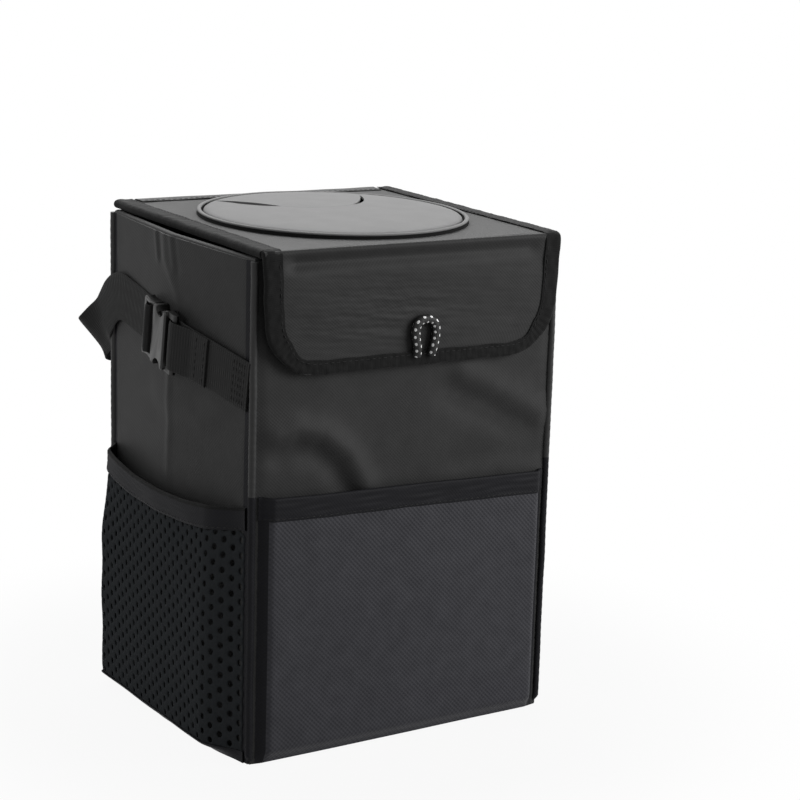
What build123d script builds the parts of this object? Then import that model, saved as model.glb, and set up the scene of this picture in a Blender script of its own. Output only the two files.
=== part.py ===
"""A soft folding car bin: cloth walls over stiffener boards, a hinged lid with a slit drop disc, a front
flap, pockets on three sides and a webbing strap with a side-release buckle.

Millimetres. The origin is the middle of the underside, +Z is up, the front faces -Y and the buckle is on
the -X side. Each side wall stands out a little at a crease half way back, where the bin folds flat.
"""

import os
from math import cos, radians, sin, tan

from build123d import *

# Walls
body_width = 174.0  # across the front, from corner to corner
body_depth = 152.0
body_height = 255.0  # floor to the top of the rim at the back
rim_fall = 1.5  # degrees that the rim slopes down towards the front
side_bow = 5.0  # how far the crease of a side stands out past the corners
cloth = 0.9
board = 1.8
lining = 0.7
tape = 0.8
board_margin = 1.0  # free edge round a stiffener
crease_gap = 3.0  # between the two stiffeners of a side
piping_radius = 1.6
clearance = 0.3

# Front pocket
pocket_height = 134.0  # floor to the hem, half way along it
pocket_slant = 1.8  # degrees that the hem slopes down towards +X
pocket_room = 5.2  # between the wall and the pocket cloth
pocket_ramp = 8.0  # over which the ends of a pocket slope back to the wall
pocket_lift = 1.5  # floor to the underside of a pocket
hem_height = 12.0

# Mesh pockets
mesh_height = 131.0
mesh_room = 7.5  # between the crease and the mesh
mesh_ramp = 8.0
mesh_thickness = 1.3
mesh_sag = 6.0  # how far the hem dips half way along
mesh_columns = 10
mesh_rows = 5
mesh_strand = 3.0  # between neighbouring gaps
mesh_border = 5.0  # plain edge round the gaps

# Lid
lid_inset = 0.5  # that each side of the lid stays inside the corners of the walls
binding_width = 10.0
hinge_tape_height = 14.0
disc_radius = 70.0
disc_thickness = 1.2
disc_lift = 1.4  # lid to the underside of the membrane, less its dome
disc_dome = 1.8  # how far the middle of the membrane stands up
dome_flat = 60.0  # radius of its flat middle
disc_lap = 6.0  # of the disc on the lid round its hole
welt_radius = 1.4
welt_bevel = 0.9  # along both upper edges of the welt
slit_width = 0.9
tongue_half = 37.0  # half the width of the tongue cut in the membrane, at its root
tongue_tip_half = 30.0
tongue_root = 46.0  # behind the middle of the disc
tongue_tip = 2.0
tongue_round = 27.0

# Flap
flap_room = 4.6  # between the front wall and the flap lining
flap_drop = 62.5  # from the top of the lid to the lower edge
flap_taper = 3.5  # that each side edge comes in on its way down
flap_corner = 26.0
flap_edging = 7.5  # width of the binding
patch_width = 70.0
patch_height = 20.0
patch_above_edge = 16.0
loop_patch = 2.4
pull_cord = 4.4
cord_sides = 6  # the round cord is drawn with flats
pull_width = 16.0  # outside width of the pull loop
pull_rise = 17.5  # above the binding of the flap
pull_x = 4.0

# Strap
strap_width = 25.0
strap = 1.2
strap_below_rim = 53.0  # back rim to the middle of the strap at the crease
strap_rise = 9.5  # degrees that the strap climbs towards the back
strap_off = 1.5  # from a wall to the middle of the webbing
strap_slack = 34.0  # that the strap stands behind the back wall
strap_droop = 29.5
strap_knee = 8.0  # in front of the back wall, where the strap starts to droop
slack_spread = 3.5  # that the slack stands out sideways past the corner
slack_dip = 9.0  # that the middle of the slack comes in towards the back wall
slack_bend = 11.0
strap_lap = 28.0  # of the short strap on itself
bar_run = 4.0  # straight webbing in front of the bar
weld_gap = 0.1  # between sewn layers of webbing
plug_travel = 17.0  # that the plug slides to leave the socket

# Buckle, measured along the strap from the crease
buckle_width = 31.0
buckle_thickness = 7.4
bar_along = -13.0
bar_radius = 1.7
socket_front = -8.0
socket_mouth = 7.0
socket_wall = 1.5
socket_side = 3.0
mouth_radius = 24.0
mouth_depth = 2.0
window_along = -1.5
window_radius = 4.4
plug_length = 12.6
plug_thickness = 4.8
plug_waist = 1.2  # that each side of the plug is hollowed
waist_radius = 16.0
ladder_slot = 2.8
ladder_bar = 2.6
prong_inner = 7.0  # from the middle of the plug to the near face of a prong
prong_width = 3.0
prong_catch = 0.8  # that a prong's shoulder stands out past the throat of the socket
tongue_width = 4.0
corner_round = 2.0

# Sizes that follow from those above
half_width = body_width / 2
half_depth = body_depth / 2
wall = cloth + board + lining
floor_top = cloth + board

# The rim and the lid are square to a plane that slopes down to the front; heights on the lid are above it
slope = radians(rim_fall)
lid_up = Vector(0, -sin(slope), cos(slope))
lid_forward = Vector(0, -cos(slope), -sin(slope))
rim_plane = Plane(origin=(0, 0, body_height - half_depth * tan(slope)), x_dir=(1, 0, 0), z_dir=lid_up)
lid_under = tape
lid_board_under = lid_under + lining
lid_cloth_under = lid_board_under + board
lid_face = lid_cloth_under + cloth
lid_top = lid_face + tape
lid_half = half_width - lid_inset
lid_core_half = lid_half - tape
hinge_tape_thickness = piping_radius + clearance
lid_rear = half_depth + hinge_tape_thickness + clearance
lid_front = -half_depth - flap_room
disc_y = (lid_rear + lid_front) / 2
hole_radius = disc_radius - 2 * welt_radius - disc_lap

# The flap hangs straight down from the top front edge of the lid
fold = rim_plane.from_local_coords(Vector(0, lid_front, lid_top))
lid_lip = rim_plane.from_local_coords(Vector(0, lid_front, 0))
flap_low = fold.Z - flap_drop
flap_face_y = fold.Y - lining - cloth

strap_height = body_height - strap_below_rim
strap_grade = tan(radians(strap_rise))
pocket_half = half_width - piping_radius - 2 * tape
mesh_half = half_depth - piping_radius - 2 * tape
mesh_face = half_width + side_bow + mesh_room
pocket_rake = radians(pocket_slant)
pocket_top = Plane(origin=(0, 0, pocket_height), z_dir=(sin(pocket_rake), 0, cos(pocket_rake)))


def side_x(y):
    """How far out a side wall stands at the depth y."""
    return half_width + side_bow * (1 - abs(y) / half_depth)


def plan_points(inset):
    """The six corners of the body seen from above, moved in by inset."""
    y = half_depth - inset
    x = side_x(y) - inset
    crease = side_x(0) - inset
    return [(-x, -y), (x, -y), (crease, 0), (x, y), (-x, y), (-crease, 0)]


def side_strip(sign, near, far, start, end):
    """The plan of one layer of a side wall between two depths, from near to far inside its outer face."""
    depths = sorted({start, end, 0.0} if start < 0 < end else {start, end})
    outer = [(sign * (side_x(y) - near), y) for y in depths]
    inner = [(sign * (side_x(y) - far), y) for y in reversed(depths)]
    return outer + inner


def trim_top(gap):
    """Cut the piece in hand along the slope of the rim, the given gap below its top."""
    split(bisect_by=rim_plane.offset(-gap), keep=Keep.BOTTOM)


def save(piece, name):
    """Label a finished piece and write it."""
    piece.part.label = name
    export_step(piece.part, f"parts/{name}.step")


os.makedirs("parts", exist_ok=True)

# Outer cloth of the body
with BuildPart() as base_panel:
    with BuildSketch(Plane.XY):
        Polygon(*plan_points(0))
    extrude(amount=cloth)
save(base_panel, "base_panel")

for name, sign in (("front", -1), ("back", 1)):
    with BuildPart() as panel:
        with BuildSketch(Plane.XY.offset(cloth)):
            with Locations((0, sign * (half_depth - cloth / 2))):
                Rectangle(body_width, cloth)
        extrude(amount=body_height)
        trim_top(tape)
    save(panel, f"{name}_panel")

for name, sign in (("left", -1), ("right", 1)):
    with BuildPart() as panel:
        with BuildSketch(Plane.XY.offset(cloth)):
            Polygon(*side_strip(sign, 0, cloth, cloth - half_depth, half_depth - cloth))
        extrude(amount=body_height)
        trim_top(tape)
    save(panel, f"{name}_panel")

# Stiffeners between the cloth and the liner
with BuildPart() as base_board:
    with BuildSketch(Plane.XY.offset(cloth)):
        Polygon(*plan_points(wall + board_margin))
    extrude(amount=board)
save(base_board, "base_board")

board_foot = floor_top + board_margin
end_board_half = half_width - cloth - board - board_margin
side_board_end = half_depth - cloth - board_margin

for name, sign in (("front", -1), ("back", 1)):
    with BuildPart() as stiffener:
        with BuildSketch(Plane.XY.offset(board_foot)):
            with Locations((0, sign * (half_depth - cloth - board / 2))):
                Rectangle(2 * end_board_half, board)
        extrude(amount=body_height)
        trim_top(tape + board_margin)
    save(stiffener, f"{name}_board")

for name, sign in (("left", -1), ("right", 1)):
    for part_name, start, end in (
        ("front", -side_board_end, -crease_gap / 2),
        ("rear", crease_gap / 2, side_board_end),
    ):
        with BuildPart() as stiffener:
            with BuildSketch(Plane.XY.offset(board_foot)):
                Polygon(*side_strip(sign, cloth, cloth + board, start, end))
            extrude(amount=body_height)
            trim_top(tape + board_margin)
        save(stiffener, f"{name}_{part_name}_board")

# Leakproof liner, a box of thin film welded at its corners
with BuildPart() as liner:
    with BuildSketch(Plane.XY.offset(floor_top)):
        Polygon(*plan_points(cloth + board))
    extrude(amount=body_height)
    with BuildSketch(Plane.XY.offset(floor_top + lining)):
        Polygon(*plan_points(wall))
    extrude(amount=body_height, mode=Mode.SUBTRACT)
    trim_top(tape)
save(liner, "liner")

# Tape over the top edge of the walls
with BuildPart() as rim_tape:
    with BuildSketch(rim_plane.offset(-tape)):
        Polygon(*plan_points(0))
        Polygon(*plan_points(wall), mode=Mode.SUBTRACT)
    extrude(amount=tape)
save(rim_tape, "rim_tape")

# Piping on the four corner seams
for depth_name, y_sign in (("front", -1), ("rear", 1)):
    for side_name, x_sign in (("left", -1), ("right", 1)):
        with BuildPart() as piping:
            with BuildSketch(Plane.XY):
                with Locations((x_sign * half_width, y_sign * half_depth)):
                    Circle(piping_radius)
                Polygon(*plan_points(0), mode=Mode.SUBTRACT)
            extrude(amount=body_height)
            trim_top(tape)
        save(piping, f"{depth_name}_{side_name}_piping")

# Front pocket: a shallow tray of cloth, open at the top, with a hem of folded tape
pocket_face = half_depth + pocket_room + cloth
pocket_outline = [
    (-pocket_half, -half_depth),
    (pocket_ramp - pocket_half, -pocket_face),
    (pocket_half - pocket_ramp, -pocket_face),
    (pocket_half, -half_depth),
    (pocket_half, 0),
    (-pocket_half, 0),
]
with BuildPart() as front_pocket:
    with BuildSketch(Plane.XY.offset(pocket_lift)):
        Polygon(*pocket_outline)
        offset(amount=-cloth, kind=Kind.INTERSECTION, mode=Mode.SUBTRACT)
        Polygon(*plan_points(0), mode=Mode.SUBTRACT)
    extrude(amount=body_height)
    split(bisect_by=pocket_top, keep=Keep.BOTTOM)
    with BuildSketch(Plane.XY.offset(pocket_lift)):
        Polygon(*pocket_outline)
        Polygon(*plan_points(0), mode=Mode.SUBTRACT)
    extrude(amount=cloth)
save(front_pocket, "front_pocket")

with BuildPart() as front_pocket_hem:
    with BuildSketch(Plane.XY.offset(pocket_lift)):
        Polygon(*pocket_outline)
        offset(amount=tape, kind=Kind.INTERSECTION)
        Polygon(*pocket_outline, mode=Mode.SUBTRACT)
        Polygon(*plan_points(0), mode=Mode.SUBTRACT)
    extrude(amount=body_height)
    split(bisect_by=pocket_top, keep=Keep.BOTTOM)
    split(bisect_by=pocket_top.offset(-hem_height), keep=Keep.TOP)
save(front_pocket_hem, "front_pocket_hem")

# Mesh pockets on the sides: bellows with a flat face of diamond gaps and a hem that dips in the middle
mesh_outer = mesh_face + mesh_thickness
mesh_dip = mesh_height - mesh_sag
hem_end = mesh_height - hem_height
hem_dip = mesh_dip - hem_height
gap_field_width = 2 * (mesh_half - mesh_ramp - mesh_border)
gap_field_height = hem_dip - pocket_lift - 2 * mesh_border
gap_pitch_y = gap_field_width / mesh_columns
gap_pitch_z = gap_field_height / (2 * mesh_rows)
gap_middle = pocket_lift + mesh_border + gap_field_height / 2
gap_diamond = [
    (mesh_strand / 2 - gap_pitch_y / 2, 0),
    (0, gap_pitch_z - mesh_strand),
    (gap_pitch_y / 2 - mesh_strand / 2, 0),
    (0, mesh_strand - gap_pitch_z),
]

for name, sign in (("left", -1), ("right", 1)):
    mesh_outline = [
        (0, -mesh_half),
        (sign * half_width, -mesh_half),
        (sign * mesh_outer, mesh_ramp - mesh_half),
        (sign * mesh_outer, mesh_half - mesh_ramp),
        (sign * half_width, mesh_half),
        (0, mesh_half),
    ]
    with BuildPart() as mesh_pocket:
        with BuildSketch(Plane.XY.offset(pocket_lift)):
            Polygon(*mesh_outline)
            offset(amount=-mesh_thickness, kind=Kind.INTERSECTION, mode=Mode.SUBTRACT)
            Polygon(*plan_points(0), mode=Mode.SUBTRACT)
        extrude(amount=mesh_height - pocket_lift)
        with BuildSketch(Plane.XY.offset(pocket_lift)):
            Polygon(*mesh_outline)
            Polygon(*plan_points(0), mode=Mode.SUBTRACT)
        extrude(amount=mesh_thickness)
        with BuildSketch(Plane.YZ):
            with BuildLine():
                dip = ThreePointArc((-half_depth, mesh_height), (0, mesh_dip), (half_depth, mesh_height))
                Line(dip @ 1, dip @ 0)
            make_face()
        extrude(amount=sign * (mesh_outer + tape), mode=Mode.SUBTRACT)
        with BuildSketch(Plane.YZ):
            with Locations((0, gap_middle)):
                with GridLocations(gap_pitch_y, 2 * gap_pitch_z, mesh_columns, mesh_rows):
                    Polygon(*gap_diamond)
                with GridLocations(gap_pitch_y, 2 * gap_pitch_z, mesh_columns - 1, mesh_rows - 1):
                    Polygon(*gap_diamond)
        extrude(amount=sign * (mesh_outer + tape), mode=Mode.SUBTRACT)
    save(mesh_pocket, f"{name}_mesh_pocket")

    with BuildPart() as mesh_hem:
        with BuildSketch(Plane.XY.offset(pocket_lift)):
            Polygon(*mesh_outline)
            offset(amount=tape, kind=Kind.INTERSECTION)
            Polygon(*mesh_outline, mode=Mode.SUBTRACT)
            Polygon(*plan_points(0), mode=Mode.SUBTRACT)
        extrude(amount=mesh_height - pocket_lift)
        with BuildSketch(Plane.YZ):
            with BuildLine():
                upper = ThreePointArc((-half_depth, mesh_height), (0, mesh_dip), (half_depth, mesh_height))
                lower = ThreePointArc((half_depth, hem_end), (0, hem_dip), (-half_depth, hem_end))
                Line(upper @ 1, lower @ 0)
                Line(lower @ 1, upper @ 0)
            make_face()
        extrude(amount=sign * (mesh_outer + 2 * tape), mode=Mode.INTERSECT)
    save(mesh_hem, f"{name}_mesh_hem")

# Lid: cloth and lining over a stiffener, with a round hole under the drop disc
lid_depth = lid_rear - lid_front
for name, under, thickness, margin in (
    ("lid_lining", lid_under, lining, 0),
    ("lid_board", lid_board_under, board, board_margin),
    ("lid_panel", lid_cloth_under, cloth, 0),
):
    with BuildPart() as layer:
        with BuildSketch(rim_plane.offset(under)):
            with Locations((0, disc_y)):
                Rectangle(2 * (lid_core_half - margin), lid_depth - 2 * margin)
                Circle(hole_radius + margin, mode=Mode.SUBTRACT)
        extrude(amount=thickness)
    save(layer, name)

lid_end = rim_plane.from_local_coords(Vector(0, lid_rear, 0))
for name, sign in (("left", -1), ("right", 1)):
    with BuildPart() as lid_binding:
        with BuildSketch(Plane(origin=lid_end, x_dir=(1, 0, 0), z_dir=lid_forward)):
            with Locations((sign * (lid_half - binding_width / 2), lid_top / 2)):
                Rectangle(binding_width, lid_top)
            with Locations((sign * (lid_core_half - binding_width / 2), (lid_under + lid_face) / 2)):
                Rectangle(binding_width, lid_face - lid_under, mode=Mode.SUBTRACT)
        extrude(amount=lid_depth)
    save(lid_binding, f"lid_{name}_binding")

with BuildPart() as hinge_tape:
    with BuildSketch(Plane.XY.offset(body_height - hinge_tape_height)):
        with Locations((0, half_depth + hinge_tape_thickness / 2)):
            Rectangle(2 * (pocket_half - binding_width), hinge_tape_thickness)
    extrude(amount=2 * hinge_tape_height)
    trim_top(0)
save(hinge_tape, "hinge_tape")

# Drop disc: a raised membrane with a tongue cut in it, and a welt round its edge
disc_edge = disc_radius - 2 * welt_radius
disc_top = disc_lift + disc_thickness
disc_centre = rim_plane.from_local_coords(Vector(0, disc_y, lid_face))
disc_section = Plane(origin=disc_centre, x_dir=(1, 0, 0), z_dir=lid_forward)
dome_under = disc_lift + disc_dome
dome_top = disc_top + disc_dome
with BuildPart() as drop_disc:
    with BuildSketch(disc_section):
        Polygon(
            (0, dome_under),
            (hole_radius, dome_under),
            (hole_radius, 0),
            (disc_edge, 0),
            (disc_edge, disc_top),
            (dome_flat, dome_top),
            (0, dome_top),
            align=None,
        )
    revolve(axis=Axis(disc_centre, lid_up))
    with BuildSketch(Plane(origin=disc_centre, x_dir=(1, 0, 0), z_dir=lid_up)):
        with BuildLine():
            FilletPolyline(
                (-tongue_half, tongue_root),
                (-tongue_tip_half, tongue_tip),
                (tongue_tip_half, tongue_tip),
                (tongue_half, tongue_root),
                radius=tongue_round,
            )
        trace(line_width=slit_width)
    extrude(amount=dome_top, mode=Mode.SUBTRACT)
save(drop_disc, "drop_disc")

with BuildPart() as disc_welt:
    with BuildSketch(disc_section) as welt_section:
        with Locations((disc_radius - welt_radius, welt_radius)):
            Rectangle(2 * welt_radius, 2 * welt_radius)
        chamfer(welt_section.vertices().group_by(Axis.Y)[-1], welt_bevel)
    revolve(axis=Axis(disc_centre, lid_up))
save(disc_welt, "disc_welt")

# Flap: cloth and lining, edged on three sides by a binding
flap_corners = [
    (-lid_core_half, fold.Z),
    (flap_taper - lid_core_half, flap_low + tape),
    (lid_core_half - flap_taper, flap_low + tape),
    (lid_core_half, fold.Z),
]
with BuildSketch() as flap_core:
    Polygon(*flap_corners)
    fillet(flap_core.vertices().group_by(Axis.Y)[0], flap_corner)

with BuildSketch() as flap_outer:
    add(flap_core.sketch)
    offset(amount=tape, kind=Kind.INTERSECTION)
    with Locations((0, fold.Z)):
        Rectangle(2 * body_width, flap_drop, align=(Align.CENTER, Align.MIN), mode=Mode.SUBTRACT)

with BuildSketch() as flap_inner:
    add(flap_core.sketch)
    offset(amount=tape - flap_edging, kind=Kind.INTERSECTION)
    with Locations((0, fold.Z)):
        Rectangle(2 * (lid_half - flap_edging), 2 * flap_edging)

for name, standoff, thickness in (("flap_lining", 0, lining), ("flap_panel", lining, cloth)):
    with BuildPart() as layer:
        with BuildSketch(Plane.XZ.offset(standoff - fold.Y)):
            add(flap_core.sketch)
        extrude(amount=thickness)
    save(layer, name)

with BuildPart() as flap_binding:
    with BuildSketch(Plane.XZ.offset(-fold.Y - tape)):
        add(flap_outer.sketch)
        add(flap_inner.sketch, mode=Mode.SUBTRACT)
    extrude(amount=cloth + lining + 2 * tape)
    with BuildSketch(Plane.XZ.offset(-fold.Y)):
        add(flap_core.sketch)
    extrude(amount=cloth + lining, mode=Mode.SUBTRACT)
    with BuildSketch(Plane.XZ.offset(-fold.Y - tape)):
        with Locations((0, lid_lip.Z - clearance)):
            Rectangle(2 * body_width, flap_drop, align=(Align.CENTER, Align.MIN))
    extrude(amount=tape, mode=Mode.SUBTRACT)
save(flap_binding, "flap_binding")

# Hook and loop closure: the hooks on the flap, the loops on the front wall
patch_z = flap_low + patch_above_edge + patch_height / 2
hook_patch = -fold.Y - half_depth - loop_patch - clearance
with BuildPart() as front_loop_patch:
    with BuildSketch(Plane.XZ.offset(half_depth)):
        with Locations((0, patch_z)):
            RectangleRounded(patch_width, patch_height, tape)
    extrude(amount=loop_patch)
save(front_loop_patch, "front_loop_patch")

with BuildPart() as flap_hook_patch:
    with BuildSketch(Plane.XZ.offset(-fold.Y - hook_patch)):
        with Locations((0, patch_z)):
            RectangleRounded(patch_width, patch_height, tape)
    extrude(amount=hook_patch)
save(flap_hook_patch, "flap_hook_patch")

# Pull loop: a cord whose two ends are sewn under the binding of the flap
pull_foot = flap_low + flap_edging
pull_arch = (pull_width - pull_cord) / 2
pull_leg = pull_rise - pull_width / 2
pull_plane = Plane.XZ.offset(-flap_face_y + pull_cord / 2)
with BuildPart() as pull_loop:
    with BuildLine(pull_plane):
        leg = Line((pull_x - pull_arch, pull_foot), (pull_x - pull_arch, pull_foot + pull_leg))
        arch = TangentArc(leg @ 1, leg @ 1 + (2 * pull_arch, 0), tangent=leg % 1)
        Line(arch @ 1, arch @ 1 - (leg @ 1 - leg @ 0))
    with BuildSketch(Plane(origin=leg @ 0, z_dir=leg % 0)):
        RegularPolygon(pull_cord / 2, cord_sides, major_radius=False)
    sweep()
save(pull_loop, "pull_loop")

# Strap: where the webbing runs, seen from above, and the frame of the buckle on it
crease_point = Vector(-side_x(0) - strap_off, 0)
seam_y = piping_radius + clearance - half_depth
seam_point = Vector(-side_x(seam_y) - strap_off, seam_y)
corner_point = Vector(-half_width - piping_radius - clearance - strap / 2, half_depth)
slack_point = Vector(corner_point.X - slack_spread, half_depth + strap_slack)
back_point = Vector(0, half_depth + strap_slack - slack_dip)
run = (corner_point - crease_point).normalized()
rise = radians(strap_rise)
along = Vector(run.X * cos(rise), run.Y * cos(rise), sin(rise))
outward = Vector(-run.Y, run.X, 0)
buckle_origin = Vector(crease_point.X, crease_point.Y, strap_height)
buckle_plane = Plane(origin=buckle_origin, x_dir=along, z_dir=outward)
edge_plane = Plane(origin=buckle_origin, x_dir=along, z_dir=along.cross(outward))

wrap_radius = bar_radius + clearance + strap / 2
buckle_mid = wrap_radius
slot_half = strap_width / 2 + clearance
throat_half = buckle_width / 2 - socket_side
cavity = buckle_thickness - 2 * socket_wall
plug_under = buckle_mid - plug_thickness / 2
plug_end = socket_mouth + clearance + plug_length

# Short strap: sewn into the front seam, turned round the bar of the socket and sewn back on itself
to_seam = seam_point - crease_point
seam_along = to_seam.dot(run) / cos(rise)
seam_out = to_seam.dot(outward)
lap_rise = strap + weld_gap
run_along = bar_along - bar_run
lap_start = bar_along - strap_lap / 2
lap_end = bar_along - strap_lap
lap_slope = seam_out / (seam_along - run_along)
seam_spare = strap_width * sin(rise)
with BuildPart() as short_strap:
    with BuildSketch(edge_plane):
        with BuildLine():
            far_end = (seam_along - seam_spare, seam_out - seam_spare * lap_slope)
            lower = FilletPolyline(far_end, (run_along, 0), (bar_along, 0), radius=strap_lap / 2)
            wrap = TangentArc(lower @ 1, (bar_along, 2 * wrap_radius), tangent=(1, 0))
            FilletPolyline(
                wrap @ 1,
                (bar_along - wrap_radius, 2 * wrap_radius),
                (lap_start, (lap_start - run_along) * lap_slope + lap_rise),
                (lap_end, (lap_end - run_along) * lap_slope + lap_rise),
                radius=wrap_radius,
            )
        trace(line_width=strap)
    extrude(amount=strap_width / 2, both=True)
    split(bisect_by=Plane(origin=(0, seam_y, 0), z_dir=(0, 1, 0)), keep=Keep.TOP)
save(short_strap, "short_strap")

# Buckle socket: a flat moulding with a bar for the webbing, side windows and a curved mouth
window_spots = [(window_along, -buckle_width / 2), (window_along, buckle_width / 2)]
mouth_centre = socket_mouth - mouth_depth + mouth_radius
with BuildPart() as buckle_socket:
    with BuildSketch(buckle_plane.offset(buckle_mid - buckle_thickness / 2)):
        with Locations(((socket_front + socket_mouth) / 2, 0)):
            RectangleRounded(socket_mouth - socket_front, buckle_width, corner_round)
    extrude(amount=buckle_thickness)
    outer_faces = buckle_socket.faces().sort_by(Axis(buckle_origin, outward))
    chamfer(outer_faces[0].edges() + outer_faces[-1].edges(), socket_wall / 2)
    with BuildSketch(buckle_plane.offset(buckle_mid - buckle_thickness / 2)):
        with Locations((mouth_centre, 0)):
            Circle(mouth_radius)
        with Locations(*window_spots):
            Circle(window_radius)
    extrude(amount=buckle_thickness, mode=Mode.SUBTRACT)
    with BuildSketch(buckle_plane.offset(buckle_mid - cavity / 2)):
        with Locations((socket_front + socket_wall, 0)):
            Rectangle(socket_mouth - socket_front, 2 * throat_half, align=(Align.MIN, Align.CENTER))
    extrude(amount=cavity, mode=Mode.SUBTRACT)
    with BuildSketch(buckle_plane.offset(buckle_mid - bar_radius)):
        with Locations((bar_along, slot_half), (bar_along, -buckle_width / 2)):
            Rectangle(
                socket_front - bar_along + corner_round,
                buckle_width / 2 - slot_half,
                align=(Align.MIN, Align.MIN),
            )
    extrude(amount=2 * bar_radius)
    with BuildSketch(edge_plane):
        with Locations((bar_along, buckle_mid)):
            Circle(bar_radius)
    extrude(amount=buckle_width / 2, both=True)
save(buckle_socket, "buckle_socket")

# Buckle plug: a waisted base with ladder slots, two springy prongs with shoulders and a guide tongue
slot_pitch = ladder_slot + ladder_bar
ladder_along = (socket_mouth + plug_end) / 2
prong_tip = socket_front + socket_wall + 2 * clearance
prong_outer = prong_inner + prong_width
shoulder_out = throat_half + prong_catch
window_half = (window_radius**2 - socket_side**2) ** 0.5
shoulder_front = window_along - window_half + clearance
shoulder_rear = window_along + window_half - clearance
prong = [
    (socket_mouth, prong_inner),
    (prong_tip, prong_inner),
    (prong_tip, prong_outer),
    (shoulder_front, shoulder_out),
    (shoulder_rear, shoulder_out),
    (shoulder_rear, prong_outer),
    (socket_mouth, prong_outer),
]
with BuildPart() as buckle_plug:
    with BuildSketch(buckle_plane.offset(plug_under)):
        with Locations((mouth_centre, 0)):
            Circle(mouth_radius - clearance)
        with Locations((socket_mouth + clearance, 0)):
            Rectangle(2 * mouth_depth, buckle_width, mode=Mode.INTERSECT)
        with Locations(((socket_mouth + clearance + plug_end) / 2, 0)):
            RectangleRounded(plug_length, buckle_width, corner_round)
        for sign in (-1, 1):
            with Locations((ladder_along, sign * (buckle_width / 2 + waist_radius - plug_waist))):
                Circle(waist_radius, mode=Mode.SUBTRACT)
        with Locations((ladder_along, 0)):
            with GridLocations(slot_pitch, 1, 2, 1):
                Rectangle(ladder_slot, 2 * slot_half, mode=Mode.SUBTRACT)
    extrude(amount=plug_thickness)
    with BuildSketch(buckle_plane.offset(buckle_mid - cavity / 2 + clearance)):
        Polygon(*prong)
        mirror(about=Plane.XZ)
        with Locations((prong_tip + mouth_depth, 0)):
            Rectangle(socket_mouth - prong_tip, tongue_width, align=(Align.MIN, Align.CENTER))
    extrude(amount=cavity - 2 * clearance)
save(buckle_plug, "buckle_plug")

# End of the long strap, turned over the bar of the plug
leg_half = ladder_bar / 2 + weld_gap + strap / 2
near_leg = ladder_along - leg_half
far_leg = ladder_along + leg_half
plug_over = plug_under + plug_thickness
with BuildPart() as strap_end:
    with BuildSketch(edge_plane):
        with BuildLine():
            first = Line((near_leg, plug_under), (near_leg, plug_over))
            turn = TangentArc(first @ 1, (far_leg, plug_over), tangent=(0, 1))
            Line(turn @ 1, (far_leg, plug_under))
        trace(line_width=strap)
    extrude(amount=strap_width / 2, both=True)
save(strap_end, "strap_end")

# Long strap: from under the plug round the back, where it hangs slack, to the seam of the far side
tuck = plug_under - clearance - strap / 2
strap_start = crease_point + run * (socket_mouth + seam_spare) + outward * tuck
strap_clear = crease_point + run * (plug_end + plug_travel) + outward * tuck


def far_side(point):
    """The same place on the +X side."""
    return Vector(-point.X, point.Y)


strap_route = [strap_start, strap_clear, corner_point, slack_point, back_point, far_side(slack_point)]
strap_route += [far_side(corner_point), far_side(crease_point), far_side(seam_point)]
strap_bends = [strap_slack, strap_slack, slack_bend, 4 * strap_slack, slack_bend, strap_slack, strap_slack]
knee_y = half_depth - strap_knee
knee_z = strap_height + knee_y * strap_grade
slack_z = knee_z - strap_droop
side_route = [
    (-body_depth, strap_height - body_depth * strap_grade),
    (knee_y, knee_z),
    (half_depth + strap_slack - slack_bend, slack_z),
    (half_depth + 2 * strap_slack, slack_z),
]
with BuildPart() as long_strap:
    with BuildSketch(Plane.XY):
        with BuildLine():
            FilletPolyline(*strap_route, radius=strap_bends)
        trace(line_width=strap)
    extrude(amount=body_height)
    with BuildSketch(Plane.YZ):
        with BuildLine():
            FilletPolyline(*side_route, radius=strap_width)
        trace(line_width=strap_width)
    extrude(amount=body_width, both=True, mode=Mode.INTERSECT)
save(long_strap, "long_strap")
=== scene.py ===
# %% [markdown]
# # A soft folding car bin
# The bin is a cloth box stiffened with boards. It has a hinged lid with a slit rubber disc, a front
# flap with a pull loop, three outside pockets and a webbing strap with a side-release buckle. The
# imported solids are the frame: each piece made here takes the place of one or more of them, and most
# of them move with the same body.

# %% Load the frame
import math
from contextlib import contextmanager

import bpy
import numpy as np
from mathutils import Matrix, Vector


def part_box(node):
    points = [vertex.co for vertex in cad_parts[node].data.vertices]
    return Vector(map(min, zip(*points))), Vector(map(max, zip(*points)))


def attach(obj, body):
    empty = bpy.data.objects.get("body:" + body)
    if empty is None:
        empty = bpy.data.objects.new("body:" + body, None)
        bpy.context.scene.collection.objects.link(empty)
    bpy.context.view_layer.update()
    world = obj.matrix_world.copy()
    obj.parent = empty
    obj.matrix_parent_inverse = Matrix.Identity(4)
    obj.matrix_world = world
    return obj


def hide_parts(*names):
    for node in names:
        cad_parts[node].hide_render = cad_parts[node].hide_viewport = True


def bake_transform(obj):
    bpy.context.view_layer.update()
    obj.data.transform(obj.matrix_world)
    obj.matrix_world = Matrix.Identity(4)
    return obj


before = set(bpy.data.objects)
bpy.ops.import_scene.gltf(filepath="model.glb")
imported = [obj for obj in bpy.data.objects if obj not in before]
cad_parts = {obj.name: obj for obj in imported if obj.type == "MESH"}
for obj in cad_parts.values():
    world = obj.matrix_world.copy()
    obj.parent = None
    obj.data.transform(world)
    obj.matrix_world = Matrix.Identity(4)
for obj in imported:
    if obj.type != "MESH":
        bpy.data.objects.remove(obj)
bpy.ops.object.select_all(action="DESELECT")
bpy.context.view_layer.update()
MM = 0.001

# %% [markdown]
# ## Camera
# The camera stands low in front of the left corner, with a long lens. Its angles and distance were
# fitted to the corners of the box, so the render and the photograph can be laid over each other.

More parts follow.
